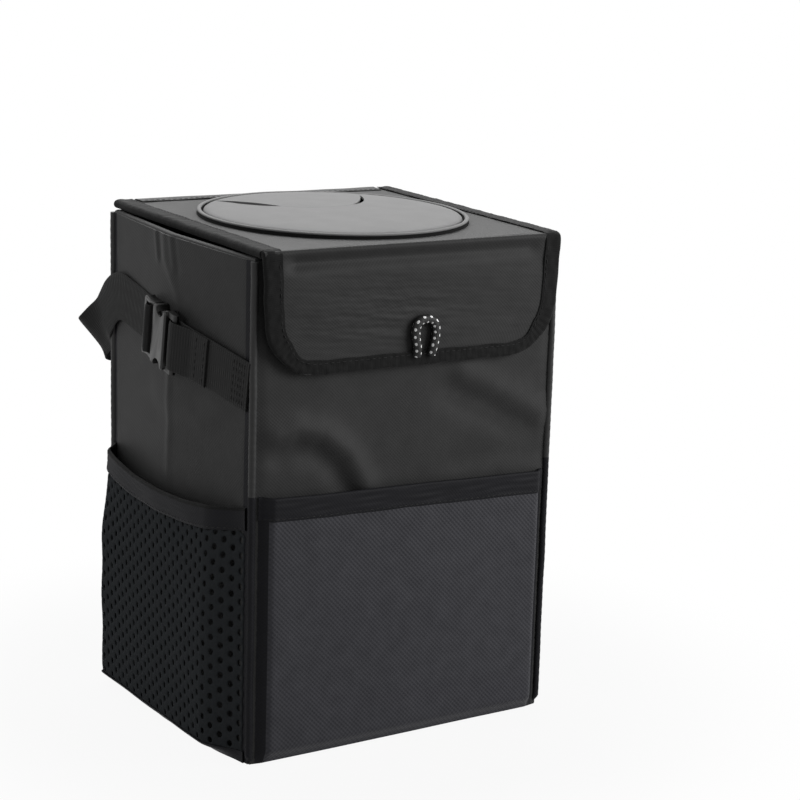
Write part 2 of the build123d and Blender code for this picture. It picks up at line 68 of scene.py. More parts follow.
# %% Camera
AZIMUTH, ELEVATION, ROLL = (math.radians(a) for a in (-33.18, 12.73, 1.67))
AIM_RADIUS, AIM_HEIGHT, CAMERA_DISTANCE = 37.9 * MM, 161.09 * MM, 1096.23 * MM
FOCAL_PIXELS, FRAME_PIXELS, SENSOR = 2086.95, 800, 36.0

bpy.ops.object.camera_add()
camera = bpy.context.object
camera.data.sensor_width = SENSOR
camera.data.lens = FOCAL_PIXELS * SENSOR / FRAME_PIXELS
backward = Vector(
    (math.sin(AZIMUTH) * math.cos(ELEVATION), -math.cos(AZIMUTH) * math.cos(ELEVATION), math.sin(ELEVATION))
)
level = (-backward).cross(Vector((0, 0, 1))).normalized()
upright = level.cross(-backward)
across = level * math.cos(ROLL) + upright * math.sin(ROLL)
upward = upright * math.cos(ROLL) - level * math.sin(ROLL)
aim = Vector((AIM_RADIUS * math.cos(AZIMUTH), AIM_RADIUS * math.sin(AZIMUTH), AIM_HEIGHT))
camera.matrix_world = Matrix.Translation(aim + backward * CAMERA_DISTANCE) @ (
    Matrix((across, upward, backward)).transposed().to_4x4()
)
bpy.context.scene.camera = camera
bpy.context.scene.view_settings.view_transform = "Standard"
print("camera at", [round(c, 4) for c in camera.location], "lens", round(camera.data.lens, 2))

# %% [markdown]
# ## Materials: small helpers
# Colours are picked as sRGB hex values, and a shader wants them linear. A second helper adds a node
# with its settings and whatever goes into its sockets, so each material below reads as a list of what
# it is made of. Two more start a material and turn a size in millimetres into the scale of a texture.


# %% Colour and node helpers
def linear(hex_colour):
    """The linear colour of an sRGB hex value."""
    channels = [int(hex_colour[i : i + 2], 16) / 255 for i in (1, 3, 5)]
    return [c / 12.92 if c <= 0.04045 else ((c + 0.055) / 1.055) ** 2.4 for c in channels] + [1.0]


def add(tree, kind, sockets=(), **settings):
    """Add a node: an output given to a socket is linked to it, and a value is set on it."""
    made = tree.nodes.new(kind)
    for name, value in settings.items():
        setattr(made, name, value)
    for socket, value in dict(sockets).items():
        if isinstance(value, bpy.types.NodeSocket):
            tree.links.new(value, made.inputs[socket])
        else:
            made.inputs[socket].default_value = value
    return made


def new_finish(name, sockets):
    """A material, its node tree and its shader, with the shader's constant sockets set."""
    material = bpy.data.materials.new(name)
    material.use_nodes = True
    shader = material.node_tree.nodes["Principled BSDF"]
    for socket, value in sockets.items():
        shader.inputs[socket].default_value = value
    return material, material.node_tree, shader


def per_mm(size):
    """The scale of a noise or cell texture whose features are about size millimetres."""
    return 1 / (size * MM)


# %% [markdown]
# ## Floor and light
# The bin stands on white paper under three soft lamps: one overhead, one in front at the right and one
# at the left. They stay at a plain level, so a colour looks about as it is written. The paper and the
# world show as white where they are seen, and near the bin the paper keeps part of its shadow. Light
# bounces off the paper as off mid-grey, which leaves the foot of the walls as dark as it should be.

# %% Floor
FLOOR_SIZE, FLOOR_DROP = 12.0, 0.2 * MM
PAPER = linear("#7C7C7C")
SHADOW_SHARE, SHADOW_NEAR, SHADOW_FAR = 0.07, 0.14, 0.3


def seen_rays(tree):
    """One for a ray that shows a surface, straight or in a gloss, and nought for one that carries light."""
    rays = add(tree, "ShaderNodeLightPath")
    seen = rays.outputs["Is Camera Ray"]
    for kind in ("Is Glossy Ray", "Is Transmission Ray"):
        seen = add(tree, "ShaderNodeMath", {0: seen, 1: rays.outputs[kind]}, operation="MAXIMUM").outputs[0]
    return seen


bpy.ops.mesh.primitive_plane_add(size=FLOOR_SIZE, location=(0, 0, -FLOOR_DROP))
floor = bpy.context.object
floor.name = "paper_floor"
paper, tree, shader = new_finish("white paper", {"Base Color": PAPER, "Roughness": 0.9})
fibre = add(tree, "ShaderNodeTexNoise", {"Scale": per_mm(2.0), "Detail": 3.0})
grain = add(tree, "ShaderNodeBump", {"Height": fibre.outputs[0], "Strength": 0.05, "Distance": 0.02 * MM})
tree.links.new(grain.outputs[0], shader.inputs["Normal"])
glow = add(tree, "ShaderNodeEmission", {"Color": (1, 1, 1, 1), "Strength": 1.0})
floor_map = add(tree, "ShaderNodeTexCoord")
reach = add(tree, "ShaderNodeVectorMath", {0: floor_map.outputs["Object"]}, operation="LENGTH")
fading = {"From Min": SHADOW_NEAR, "From Max": SHADOW_FAR, "To Min": 1 - SHADOW_SHARE, "To Max": 1.0}
fading["Value"] = reach.outputs["Value"]
white = add(tree, "ShaderNodeMapRange", fading, interpolation_type="SMOOTHSTEP")
share = add(tree, "ShaderNodeMath", {0: seen_rays(tree), 1: white.outputs[0]}, operation="MULTIPLY")
lit_or_white = {0: share.outputs[0], 1: shader.outputs[0], 2: glow.outputs[0]}
sheet_of_paper = add(tree, "ShaderNodeMixShader", lit_or_white)
tree.links.new(sheet_of_paper.outputs[0], tree.nodes["Material Output"].inputs["Surface"])
floor.data.materials.append(paper)
print("floor", FLOOR_SIZE, "m wide")

# %% Lamps and world
# Each lamp has its place, what it is aimed at, its size in metres and its power in watts.
LAMPS = {
    "overhead_lamp": ((0.3, 0.75, 1.3), (0, 0, 0.25), 1.1, 24.0),
    "front_lamp": ((0.7, -0.75, 0.5), (0, 0, 0.12), 0.6, 11.0),
    "left_lamp": ((-1.6, 0.1, 0.7), (0, 0, 0.12), 1.0, 6.0),
}
for name, (place, target, size, watts) in LAMPS.items():
    bpy.ops.object.light_add(type="AREA", location=place)
    lamp = bpy.context.object
    lamp.name = name
    lamp.data.size = size
    lamp.data.energy = watts
    lamp.rotation_euler = (Vector(target) - Vector(place)).to_track_quat("-Z", "Y").to_euler()

SKY_LEVEL = 0.28
world = bpy.data.worlds.new("white studio")
bpy.context.scene.world = world
world.use_nodes = True
tree = world.node_tree
sky = tree.nodes["Background"]
sky.inputs["Color"].default_value = (1, 1, 1, 1)
sky.inputs["Strength"].default_value = SKY_LEVEL
backdrop = add(tree, "ShaderNodeBackground", {"Color": (1, 1, 1, 1), "Strength": 1.0})
mixed = add(tree, "ShaderNodeMixShader", {0: seen_rays(tree), 1: sky.outputs[0], 2: backdrop.outputs[0]})
tree.links.new(mixed.outputs[0], tree.nodes["World Output"].inputs["Surface"])
print(len(LAMPS), "lamps and a white world")

# %% [markdown]
# ## Finishes: woven cloth
# The walls, lid and flap are a coated polyester oxford, and the front pocket a coarser ballistic weave.
# In both, yarns cross over and under, and the eye gets rows of tiny bumps. The product of two sine
# waves on the cloth's own UV map, which is in metres, gives such bumps at the yarn spacing. Slow noise
# makes the dye a little uneven.


# %% Woven cloth
SLUB, WEAVE_SHARE = 9.0, 0.28


def woven_cloth(name, shade, light, pitch, relief, sockets):
    """Plain weave in two close shades: yarns pitch millimetres apart, bumps relief millimetres high."""
    material, tree, shader = new_finish(name, sockets)
    cloth_map = add(tree, "ShaderNodeTexCoord")
    axes = add(tree, "ShaderNodeSeparateXYZ", {0: cloth_map.outputs["UV"]})
    waves = []
    for axis in (0, 1):
        turns = {0: axes.outputs[axis], 1: math.pi / (pitch * MM)}
        phase = add(tree, "ShaderNodeMath", turns, operation="MULTIPLY")
        waves.append(add(tree, "ShaderNodeMath", {0: phase.outputs[0]}, operation="SINE").outputs[0])
    bumps = add(tree, "ShaderNodeMath", {0: waves[0], 1: waves[1]}, operation="MULTIPLY")
    cloud = {"Vector": cloth_map.outputs["Object"], "Scale": per_mm(SLUB), "Detail": 4.0}
    slub = add(tree, "ShaderNodeTexNoise", cloud)
    shades = {0: bumps.outputs[0], 1: WEAVE_SHARE, 2: slub.outputs[0]}
    tone = add(tree, "ShaderNodeMath", shades, operation="MULTIPLY_ADD")
    dyes = {0: tone.outputs[0], 6: linear(shade), 7: linear(light)}
    dye = add(tree, "ShaderNodeMix", dyes, data_type="RGBA")
    tree.links.new(dye.outputs[2], shader.inputs["Base Color"])
    height = {"Height": bumps.outputs[0], "Strength": 1.0, "Distance": relief * MM}
    weave = add(tree, "ShaderNodeBump", height)
    tree.links.new(weave.outputs[0], shader.inputs["Normal"])
    return material


# A coated oxford has a soft grey bloom at a grazing angle, which the sheen gives. Its yarns are finer than
# 0.9 mm, and are drawn that coarse so that they show. The same holds for the lining and the hems.
oxford = woven_cloth(
    "coated polyester oxford", "#242424", "#303030", 0.9, 0.035,
    {"Roughness": 0.58, "Specular IOR Level": 0.1, "Sheen Weight": 0.05, "Sheen Roughness": 0.4},
)
# A ballistic weave has thick shiny yarns, really about 0.9 mm apart, drawn at 1.25 mm so that they show.
ballistic = woven_cloth(
    "ballistic polyester", "#222226", "#36363A", 1.25, 0.09,
    {"Roughness": 0.55, "Specular IOR Level": 0.15, "Sheen Weight": 0.05, "Sheen Roughness": 0.4},
)
# Taffeta is thin, flat and even, with a faint gloss.
lining_cloth = woven_cloth(
    "polyester taffeta lining", "#202020", "#2B2B2B", 0.8, 0.03,
    {"Roughness": 0.6, "Specular IOR Level": 0.12, "Sheen Weight": 0.03},
)
# Hems are turned over, and look darker and flatter than the walls. The same dark cloth is painted along
# the side walls' seams as shade.
hem_and_seam_shade = woven_cloth(
    "turned polyester hem and painted seam shade", "#131315", "#1B1B1E", 0.9, 0.035, {"Roughness": 0.6, "Specular IOR Level": 0.08}
)
print("woven:", oxford.name, ballistic.name, lining_cloth.name, hem_and_seam_shade.name)

# %% [markdown]
# ## Finishes: tape, webbing and knitted mesh
# Binding tape and strap webbing are woven narrow, with ribs across their length. The ribs follow the
# tape, so they read the UV map too: U runs along the tape. The side pockets are knitted from thick yarn
# with a fuzzy surface.


# %% Ribbed tape and yarn
FLOAT_LENGTH, FLOAT_SHARE = 1.6, 0.6
WEAR, RIB_SHARE = 5.0, 0.12


def ribbed_tape(name, shade, light, pitch, relief, gather, sockets):
    """Narrow weave: ribs across it every pitch millimetres, broken into floats, and rucks from its seam."""
    material, tree, shader = new_finish(name, sockets)
    tape_map = add(tree, "ShaderNodeTexCoord")
    axes = add(tree, "ShaderNodeSeparateXYZ", {0: tape_map.outputs["UV"]})
    turns = 2 * math.pi / (pitch * MM)
    along = add(tree, "ShaderNodeMath", {0: axes.outputs[0], 1: turns}, operation="MULTIPLY")
    wide = add(tree, "ShaderNodeMath", {0: axes.outputs[1], 1: turns / FLOAT_LENGTH}, operation="MULTIPLY")
    rib = add(tree, "ShaderNodeMath", {0: along.outputs[0]}, operation="SINE")
    floats = add(tree, "ShaderNodeMath", {0: wide.outputs[0]}, operation="COSINE")
    crossing = add(tree, "ShaderNodeMath", {0: rib.outputs[0], 1: floats.outputs[0]}, operation="MULTIPLY")
    bumps = {0: crossing.outputs[0], 1: FLOAT_SHARE, 2: rib.outputs[0]}
    height = add(tree, "ShaderNodeMath", bumps, operation="MULTIPLY_ADD")
    cloud = {"Vector": tape_map.outputs["Object"], "Scale": per_mm(WEAR), "Detail": 5.0}
    wear = add(tree, "ShaderNodeTexNoise", cloud)
    shades = {0: height.outputs[0], 1: RIB_SHARE, 2: wear.outputs[0]}
    tone = add(tree, "ShaderNodeMath", shades, operation="MULTIPLY_ADD")
    dyes = {0: tone.outputs[0], 6: linear(shade), 7: linear(light)}
    dye = add(tree, "ShaderNodeMix", dyes, data_type="RGBA")
    tree.links.new(dye.outputs[2], shader.inputs["Base Color"])
    coarse = {"Height": wear.outputs[0], "Strength": 1.0, "Distance": gather * MM}
    rucks = add(tree, "ShaderNodeBump", coarse)
    fine = {"Height": height.outputs[0], "Strength": 1.0, "Distance": relief * MM}
    fine["Normal"] = rucks.outputs[0]
    ribs = add(tree, "ShaderNodeBump", fine)
    tree.links.new(ribs.outputs[0], shader.inputs["Normal"])
    return material


def fuzzy_yarn(name, shade, light, strand, relief, sockets):
    """Knitted or napped yarn: fine fibres seen as small uneven specks."""
    material, tree, shader = new_finish(name, sockets)
    place = add(tree, "ShaderNodeTexCoord")
    specks = {"Vector": place.outputs["Object"], "Scale": per_mm(strand), "Detail": 6.0, "Roughness": 0.7}
    fibres = add(tree, "ShaderNodeTexNoise", specks)
    dyes = {0: fibres.outputs[0], 6: linear(shade), 7: linear(light)}
    dye = add(tree, "ShaderNodeMix", dyes, data_type="RGBA")
    tree.links.new(dye.outputs[2], shader.inputs["Base Color"])
    height = {"Height": fibres.outputs[0], "Strength": 1.0, "Distance": relief * MM}
    nap = add(tree, "ShaderNodeBump", height)
    tree.links.new(nap.outputs[0], shader.inputs["Normal"])
    return material


# Tape and webbing are ribbed and matt, and gathered by seams. Mesh, pile and thread show loose fibres.
CLOTH_SHEEN = {"Roughness": 0.8, "Specular IOR Level": 0.1, "Sheen Weight": 0.04, "Sheen Roughness": 0.5}
# The binding tape's finish also serves as the painted shade along the top of the mesh hems.
binding_tape_and_shade = ribbed_tape("polyester binding tape and painted hem shade", "#0A0A0A", "#171717", 0.9, 0.025, 0.5, CLOTH_SHEEN)
webbing = ribbed_tape("polypropylene webbing", "#212121", "#2B2B2B", 1.7, 0.05, 0.1, CLOTH_SHEEN)
mesh_yarn = fuzzy_yarn(
    "knitted spacer mesh", "#212325", "#353739", 1.2, 0.06, {"Roughness": 0.9, "Specular IOR Level": 0.04}
)
loop_pile = fuzzy_yarn("nylon loop pile", "#101010", "#262626", 0.7, 0.25, CLOTH_SHEEN)
thread = fuzzy_yarn(
    "polyester sewing thread", "#101010", "#242424", 0.5, 0.03,
    {"Roughness": 0.6, "Specular IOR Level": 0.15},
)
print("narrow goods:", binding_tape_and_shade.name, webbing.name, mesh_yarn.name, loop_pile.name, thread.name)

# %% [markdown]
# ## Finishes: moulded and cast plastics
# The buckle is moulded acetal, the piping a vinyl bead, the liner a welded film, the boards plain
# sheet, and the disc soft rubber with a fine leather grain. Each is told apart by its gloss and by the
# size of its surface grain.


# %% Grained plastic
CLOUD_RATIO, PIT_STRENGTH = 14, 0.6


def grained_plastic(name, shade, light, grain, relief, sockets):
    """Plastic or rubber whose surface is a grain of rounded cells about grain millimetres across."""
    material, tree, shader = new_finish(name, sockets)
    place = add(tree, "ShaderNodeTexCoord")
    spots = {"Vector": place.outputs["Object"], "Scale": per_mm(grain)}
    cells = add(tree, "ShaderNodeTexVoronoi", spots, feature="SMOOTH_F1")
    slow = {"Vector": place.outputs["Object"], "Scale": per_mm(CLOUD_RATIO * grain), "Detail": 5.0}
    cloud = add(tree, "ShaderNodeTexNoise", slow)
    dyes = {0: cloud.outputs[0], 6: linear(shade), 7: linear(light)}
    dye = add(tree, "ShaderNodeMix", dyes, data_type="RGBA")
    tree.links.new(dye.outputs[2], shader.inputs["Base Color"])
    height = {"Height": cells.outputs[0], "Strength": PIT_STRENGTH, "Distance": relief * MM}
    pits = add(tree, "ShaderNodeBump", height)
    tree.links.new(pits.outputs[0], shader.inputs["Normal"])
    return material


# Acetal comes out of a fine-etched mould with a soft gloss, and the film is the glossiest of them.
acetal = grained_plastic(
    "moulded acetal", "#060606", "#0E0E0E", 0.5, 0.02,
    {"Roughness": 0.36, "IOR": 1.48, "Specular IOR Level": 0.35},
)
vinyl = grained_plastic(
    "vinyl piping", "#202020", "#2A2A2A", 0.8, 0.02,
    {"Roughness": 0.5, "IOR": 1.53, "Specular IOR Level": 0.2},
)
film = grained_plastic(
    "welded PEVA film", "#202224", "#2C2E31", 1.0, 0.03,
    {"Roughness": 0.34, "IOR": 1.49, "Specular IOR Level": 0.5},
)
board_sheet = grained_plastic(
    "polyethylene board", "#2B2B2B", "#363636", 1.2, 0.04, {"Roughness": 0.5, "IOR": 1.51}
)
# The disc is matt and pale, and its grain is pressed in. The skirt under its bead is the same rubber in
# black, painted as the shade under the bead.
disc_rubber = grained_plastic(
    "leather-grained rubber", "#666666", "#727272", 0.9, 0.05,
    {"Roughness": 0.6, "IOR": 1.52, "Specular IOR Level": 0.1},
)
skirt_shade_rubber = grained_plastic(
    "black rubber as painted shade", "#050505", "#0A0A0A", 0.7, 0.03, {"Roughness": 0.8, "Specular IOR Level": 0.1}
)
plastics = (acetal, vinyl, film, board_sheet, disc_rubber, skirt_shade_rubber)
print("plastics:", *(material.name for material in plastics))

# %% [markdown]
# ## Shaping cloth
# Every soft piece starts as a flat grid, the way cloth starts as a flat cut. A shape function then says
# where each point of the grid goes, in millimetres, and the UV map is stretched to the real length and
# width, so that yarns keep their size. Solidify gives the cloth its thickness, inwards.


# %% Grid to cloth
def alone(piece):
    """Select one piece and nothing else."""
    bpy.ops.object.select_all(action="DESELECT")
    piece.select_set(True)
    bpy.context.view_layer.objects.active = piece


@contextmanager
def editing(piece):
    """Edit mode on one piece alone, with all of it selected."""
    alone(piece)
    bpy.ops.object.mode_set(mode="EDIT")
    bpy.ops.mesh.select_all(action="SELECT")
    yield
    bpy.ops.object.mode_set(mode="OBJECT")


def from_points(name, points, edges, faces):
    """A new piece from points in millimetres and the edges or faces between them."""
    mesh = bpy.data.meshes.new(name)
    mesh.from_pydata((np.asarray(points) * MM).tolist(), edges, faces)
    piece = bpy.data.objects.new(name, mesh)
    bpy.context.collection.objects.link(piece)
    return piece


def apply_modifier(piece, kind, **settings):
    """Add a modifier with its settings and apply it."""
    alone(piece)
    bpy.ops.object.modifier_add(type=kind)
    modifier = piece.modifiers[-1]
    for name, value in settings.items():
        setattr(modifier, name, value)
    bpy.ops.object.modifier_apply(modifier=modifier.name)


def points_of(piece):
    """The piece's vertices in millimetres, one row each."""
    flat = np.empty(len(piece.data.vertices) * 3)
    piece.data.vertices.foreach_get("co", flat)
    return flat.reshape(-1, 3) / MM


def move_points(piece, place):
    """Put the piece's vertices at these places, in millimetres."""
    piece.data.vertices.foreach_set("co", (np.asarray(place) * MM).ravel())
    piece.data.update()


def face_out(piece, outward):
    """Turn an open piece's faces so that they look along outward."""
    normals = np.empty(len(piece.data.polygons) * 3)
    piece.data.polygons.foreach_get("normal", normals)
    if normals.reshape(-1, 3).mean(axis=0) @ np.array(outward) < 0:
        with editing(piece):
            bpy.ops.mesh.flip_normals()


# How near points are merged, in millimetres.
MERGE = 0.002


def laid_out(name, shape, cells, outward=None, thickness=0.0, closed=False, capped=False):
    """A grid of cells laid out by shape(u, v): x, y and z in millimetres for u and v from 0 to 1."""
    bpy.ops.object.select_all(action="DESELECT")
    bpy.ops.mesh.primitive_grid_add(x_subdivisions=cells[0], y_subdivisions=cells[1], size=1)
    piece = bpy.context.object
    piece.name = piece.data.name = name
    u, v = np.round(points_of(piece)[:, :2].T * MM + 0.5, 6)
    place = np.stack(np.broadcast_arrays(*shape(u, v)), axis=1)
    rows = place[np.lexsort((u, v))].reshape(cells[1] + 1, cells[0] + 1, 3)
    length = np.linalg.norm(np.diff(rows, axis=1), axis=2).sum(axis=1).mean()
    width = np.linalg.norm(np.diff(rows, axis=0), axis=2).sum(axis=0).mean()
    corners = np.empty(len(piece.data.loops), dtype=np.int32)
    piece.data.loops.foreach_get("vertex_index", corners)
    metric = np.stack((u * length, v * width), axis=1)[corners] * MM
    piece.data.uv_layers.active.data.foreach_set("uv", metric.ravel())
    move_points(piece, place)
    if closed or capped:
        with editing(piece):
            bpy.ops.mesh.remove_doubles(threshold=MERGE * MM)
            if capped:
                bpy.ops.mesh.fill_holes(sides=0)
            bpy.ops.mesh.select_all(action="SELECT")
            bpy.ops.mesh.normals_make_consistent(inside=False)
    if outward is not None:
        face_out(piece, outward)
    if thickness:
        apply_modifier(piece, "SOLIDIFY", thickness=thickness * MM, offset=-1.0)
    return piece


def finished(piece, material, slot, body, *nodes, angle=50):
    """Smooth the piece, give it its finish, and let it ride on a body in place of these nodes."""
    alone(piece)
    bpy.ops.object.shade_smooth_by_angle(angle=math.radians(angle))
    piece.data.materials.append(material)
    if nodes:
        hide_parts(*nodes)
    if body:
        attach(piece, body)
    triangles = sum(len(face.vertices) - 2 for face in piece.data.polygons)
    print(piece.name, triangles, "triangles")
    return piece


def second_finish(piece, material, chosen):
    """Give another finish to the faces whose middle, in millimetres, is chosen."""
    piece.data.materials.append(material)
    for face in piece.data.polygons:
        face.material_index = int(chosen(face.center / MM))


# %% [markdown]
# ## Folds, waves and puckers
# Cloth over a board is never flat. A fold is a ridge or a step along a path, a wander is slow
# unevenness made of a few seeded waves, and a pucker is the row of small pulls that a seam leaves. They
# are heights, in millimetres, that a shape function adds to its surface. That is sculpting by numbers,
# so it comes out the same on every run.


# %% Cloth relief
BOARD_SOFT = 0.2


def ease(t):
    """From 0 to 1 with a soft start and end."""
    t = np.clip(t, 0, 1)
    return t * t * (3 - 2 * t)


def fold(a, b, path, width, ridge=0.0, step=0.0):
    """Height of a fold along a path: a ridge on it, and a step, up on its left and down on its right."""
    height = np.zeros(np.shape(a))
    nearest = np.full(np.shape(a), 1e9)
    for (a0, b0), (a1, b1) in zip(path, path[1:]):
        length = math.hypot(a1 - a0, b1 - b0)
        da, db = (a1 - a0) / length, (b1 - b0) / length
        along = (a - a0) * da + (b - b0) * db
        across = ((b - b0) * da - (a - a0) * db) / width
        past = np.maximum(np.maximum(-along, along - length), 0) / width
        here = np.exp(-(across**2) - past**2) * (ridge + 2 * step * across)
        off = np.hypot(across, past)
        height = np.where(off < nearest, here, height)
        nearest = np.minimum(nearest, off)
    return height


def wander(a, b, span, seed):
    """Slow unevenness between about -1 and 1, its waves about span millimetres long each way."""
    draw = np.random.default_rng(seed)
    total = np.zeros(np.shape(a))
    for _ in range(8):
        ka, kb = draw.normal(0, 1, 2)
        total += np.sin(2 * math.pi * (ka * a / span[0] + kb * b / span[1]) + draw.uniform(0, 2 * math.pi))
    return total / 4


def held_off(out):
    """Heights of cloth over a board: a dent flattens out on the board and never sinks into it."""
    return (out + np.sqrt(out * out + BOARD_SOFT)) / 2


def seam_rise(edge, height, reach):
    """Cloth is pulled down to a seam at its edge and rises to its full height within reach millimetres."""
    return height * ease(edge / reach)


def pucker(along, away, pitch, reach, seed):
    """Small pulls along a seam, pitch millimetres apart, dying out reach millimetres away from it."""
    drift = wander(along, 0 * along, (9 * pitch, 1), seed)
    return np.sin(2 * math.pi * along / pitch + 2.5 * drift) * np.exp(-away / reach)


# %% [markdown]
# ## Sizes of the bin
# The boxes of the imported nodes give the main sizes, so this lesson holds few numbers of its own. The
# rim falls a little to the front, and what lies on the lid is placed in the lid's own plane: x across,
# y back, h up from the rim.

# %% Sizes from the frame
HALF_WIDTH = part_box("front_panel")[1].x / MM
HALF_DEPTH = -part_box("front_panel")[0].y / MM
SIDE_OUT = -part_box("left_panel")[0].x / MM
BODY_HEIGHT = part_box("rim_tape")[1].z / MM
RIM_FALL = math.radians(1.5)
RIM_MIDDLE = BODY_HEIGHT - HALF_DEPTH * math.tan(RIM_FALL)
WALL_TOP, WALL_THICK, FLOOR_TOP = 1.1, 3.4, 2.7
CREASE_SOFT = 6.0
# Thicknesses of the soft layers
CLOTH, LID_CLOTH, THIN_CLOTH = 0.6, 0.7, 0.5
LINING, FILM, TAPE, HEM_FOLD = 0.4, 0.3, 0.4, 0.35
# The lid's half width, and the height of its top face over the rim
LID_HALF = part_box("lid_right_binding")[1].x / MM
LID_FACE = 4.2


def rim_z(y):
    """Height of the rim at a depth y."""
    return RIM_MIDDLE + y * math.tan(RIM_FALL)


def side_x(y):
    """How far out a side wall stands at a depth y: it is bowed, with a soft crease down its middle."""
    bow = np.sqrt(y * y + CREASE_SOFT**2) - CREASE_SOFT
    bow = bow / (math.hypot(HALF_DEPTH, CREASE_SOFT) - CREASE_SOFT)
    return SIDE_OUT - (SIDE_OUT - HALF_WIDTH) * bow


def on_lid(x, y, h):
    """From the lid's plane to the bin's frame."""
    return (
        x,
        y * math.cos(RIM_FALL) - h * math.sin(RIM_FALL),
        RIM_MIDDLE + y * math.sin(RIM_FALL) + h * math.cos(RIM_FALL),
    )


print("body", 2 * HALF_WIDTH, "by", 2 * HALF_DEPTH, "by", BODY_HEIGHT, "mm")

# %% [markdown]
# ## Walls
# Each wall is a panel of oxford cloth drawn over its board and sewn into the corners. The front shows
# an arched dent above the pocket and a slanting one at the right. The sides are creased down the
# middle, where the bin folds, and a narrow band of painted shade runs along their seams.

# %% Front and back walls
WALL_FOOT = 0.8
WALL_CELLS = (110, 150)
SEAM_ROOM = 0.6


def front_wall_shape(u, v):
    """Front wall: full at its upper left, with an arched dent below and a slanting one at the right."""
    x = (2 * u - 1) * (HALF_WIDTH - SEAM_ROOM)
    z = WALL_FOOT + v * (rim_z(-HALF_DEPTH) - WALL_TOP - WALL_FOOT)
    edge = HALF_WIDTH - np.abs(x)
    out = seam_rise(edge, 1.2, 7) + 0.15 * wander(x, z, (90, 110), 3)
    out += 0.9 * np.exp(-(((x + 45) / 40) ** 2) - ((z - 158) / 26) ** 2)
    arch = [(-73, 161), (-64, 163), (-52, 160), (-39, 150), (-29, 134)]
    out += fold(x, z, arch, 8.0, ridge=0.8, step=2.8)
    out += fold(x, z, [(30, 181), (53, 170), (76, 157)], 9.0, step=2.0)
    out += fold(x, z, [(84, 139), (58, 143), (30, 141)], 6.0, ridge=-0.9)
    out += 0.12 * pucker(z, edge, 6.5, 5.0, 4)
    return x, -HALF_DEPTH - held_off(out), z


def back_wall_shape(u, v):
    """Back wall: nearly flat, with two long pulls across it."""
    x = (1 - 2 * u) * (HALF_WIDTH - SEAM_ROOM)
    z = WALL_FOOT + v * (rim_z(HALF_DEPTH) - WALL_TOP - WALL_FOOT)
    edge = HALF_WIDTH - np.abs(x)
    out = seam_rise(edge, 0.6, 8) + 0.2 * wander(x, z, (90, 120), 5)
    out += fold(x, z, [(-70, 60), (-20, 75), (40, 66)], 9.0, step=0.6)
    out += fold(x, z, [(78, 150), (30, 138), (-18, 142)], 8.0, step=0.5)
    out += 0.12 * pucker(z, edge, 6.5, 5.0, 6)
    return x, HALF_DEPTH + held_off(out), z


front_wall = laid_out("front_wall", front_wall_shape, WALL_CELLS, (0, -1, 0), CLOTH)
finished(front_wall, oxford, "body_cloth", "shell", "front_panel")
back_wall = laid_out("back_wall", back_wall_shape, WALL_CELLS, (0, 1, 0), CLOTH)
finished(back_wall, oxford, "body_cloth", "shell", "back_panel")


# %% Side walls
STRAP_WIDTH, STRAP = 25.0, 1.2
STRAP_Z, STRAP_RISE = BODY_HEIGHT - 53.0, math.radians(9.5)
# The second of these is the width, in millimetres, of the painted shade along each side seam.
UNDER_STRAP, SEAM_SHADE_BAND = 0.4, 5.5


def side_wall_shape(sign, seed):
    """The shape of the wall on the side of sign, with the marks that folding leaves along its crease."""

    def shape(u, v):
        y = (2 * u - 1) * (HALF_DEPTH - SEAM_ROOM)
        z = WALL_FOOT + v * (rim_z(y) - WALL_TOP - WALL_FOOT)
        edge = HALF_DEPTH - np.abs(y)
        out = seam_rise(edge, 0.7, 8) + 0.15 * wander(y, z, (80, 110), seed)
        out += fold(y, z, [(7, 254), (5, 240), (-6, 226), (-11, 212)], 3.0, ridge=0.5)
        out += fold(y, z, [(16, 254), (13, 240)], 2.4, step=0.5)
        out += fold(y, z, [(-2, 254), (-6, 236)], 2.8, step=0.4)
        out += fold(y, z, [(0, 188), (1, 132)], 3.0, ridge=0.6)
        out += fold(y, z, [(-60, 176), (-30, 160), (14, 164)], 9.0, step=0.5)
        out += 0.12 * pucker(z, edge, 6.5, 5.0, seed + 1)
        off_strap = ease((np.abs(z - STRAP_Z - y * math.tan(STRAP_RISE)) - STRAP_WIDTH / 2) / 7)
        out -= np.maximum(out - UNDER_STRAP, 0) * (1 - off_strap)
        return sign * (side_x(y) + held_off(out)), y, z

    return shape


for name, sign, seed in (("left", -1, 7), ("right", 1, 17)):
    wall = laid_out(f"{name}_wall", side_wall_shape(sign, seed), WALL_CELLS, (sign, 0, 0), CLOTH)
    finished(wall, oxford, "body_cloth", "shell", f"{name}_panel")
    # The strip along each seam gets the dark hem cloth as painted shade, the shadow of the seam's groove.
    second_finish(wall, hem_and_seam_shade, lambda middle: abs(middle.y) > HALF_DEPTH - SEAM_SHADE_BAND)

# %% [markdown]
# ## Bottom, rim and liner
# The bottom is one piece of cloth with its edge turned up a little. The rim is capped with tape. Inside
# hangs a liner of welded film, one bag whose wall and floor run into each other, wrinkled like any thin
# film.

# %% Bottom, rim cap and liner
# Round the plan of the walls: the corners and the middles of the sides
PLAN = [(-1, -1), (0, -1), (1, -1), (1, 0), (1, 1), (0, 1), (-1, 1), (-1, 0), (-1, -1)]


def distances(line):
    """How far along a line of points each of them is, from nought at the first."""
    return np.concatenate(([0], np.cumsum(np.linalg.norm(np.diff(line, axis=0), axis=1))))


def read_off(at, marks, line):
    """The columns of a line at these distances, where marks says how far along each of its points is."""
    return [np.interp(at, marks, column) for column in np.asarray(line, float).T]


def unit(ways):
    """The same directions, each of length one."""
    return ways / np.linalg.norm(ways, axis=-1, keepdims=True)


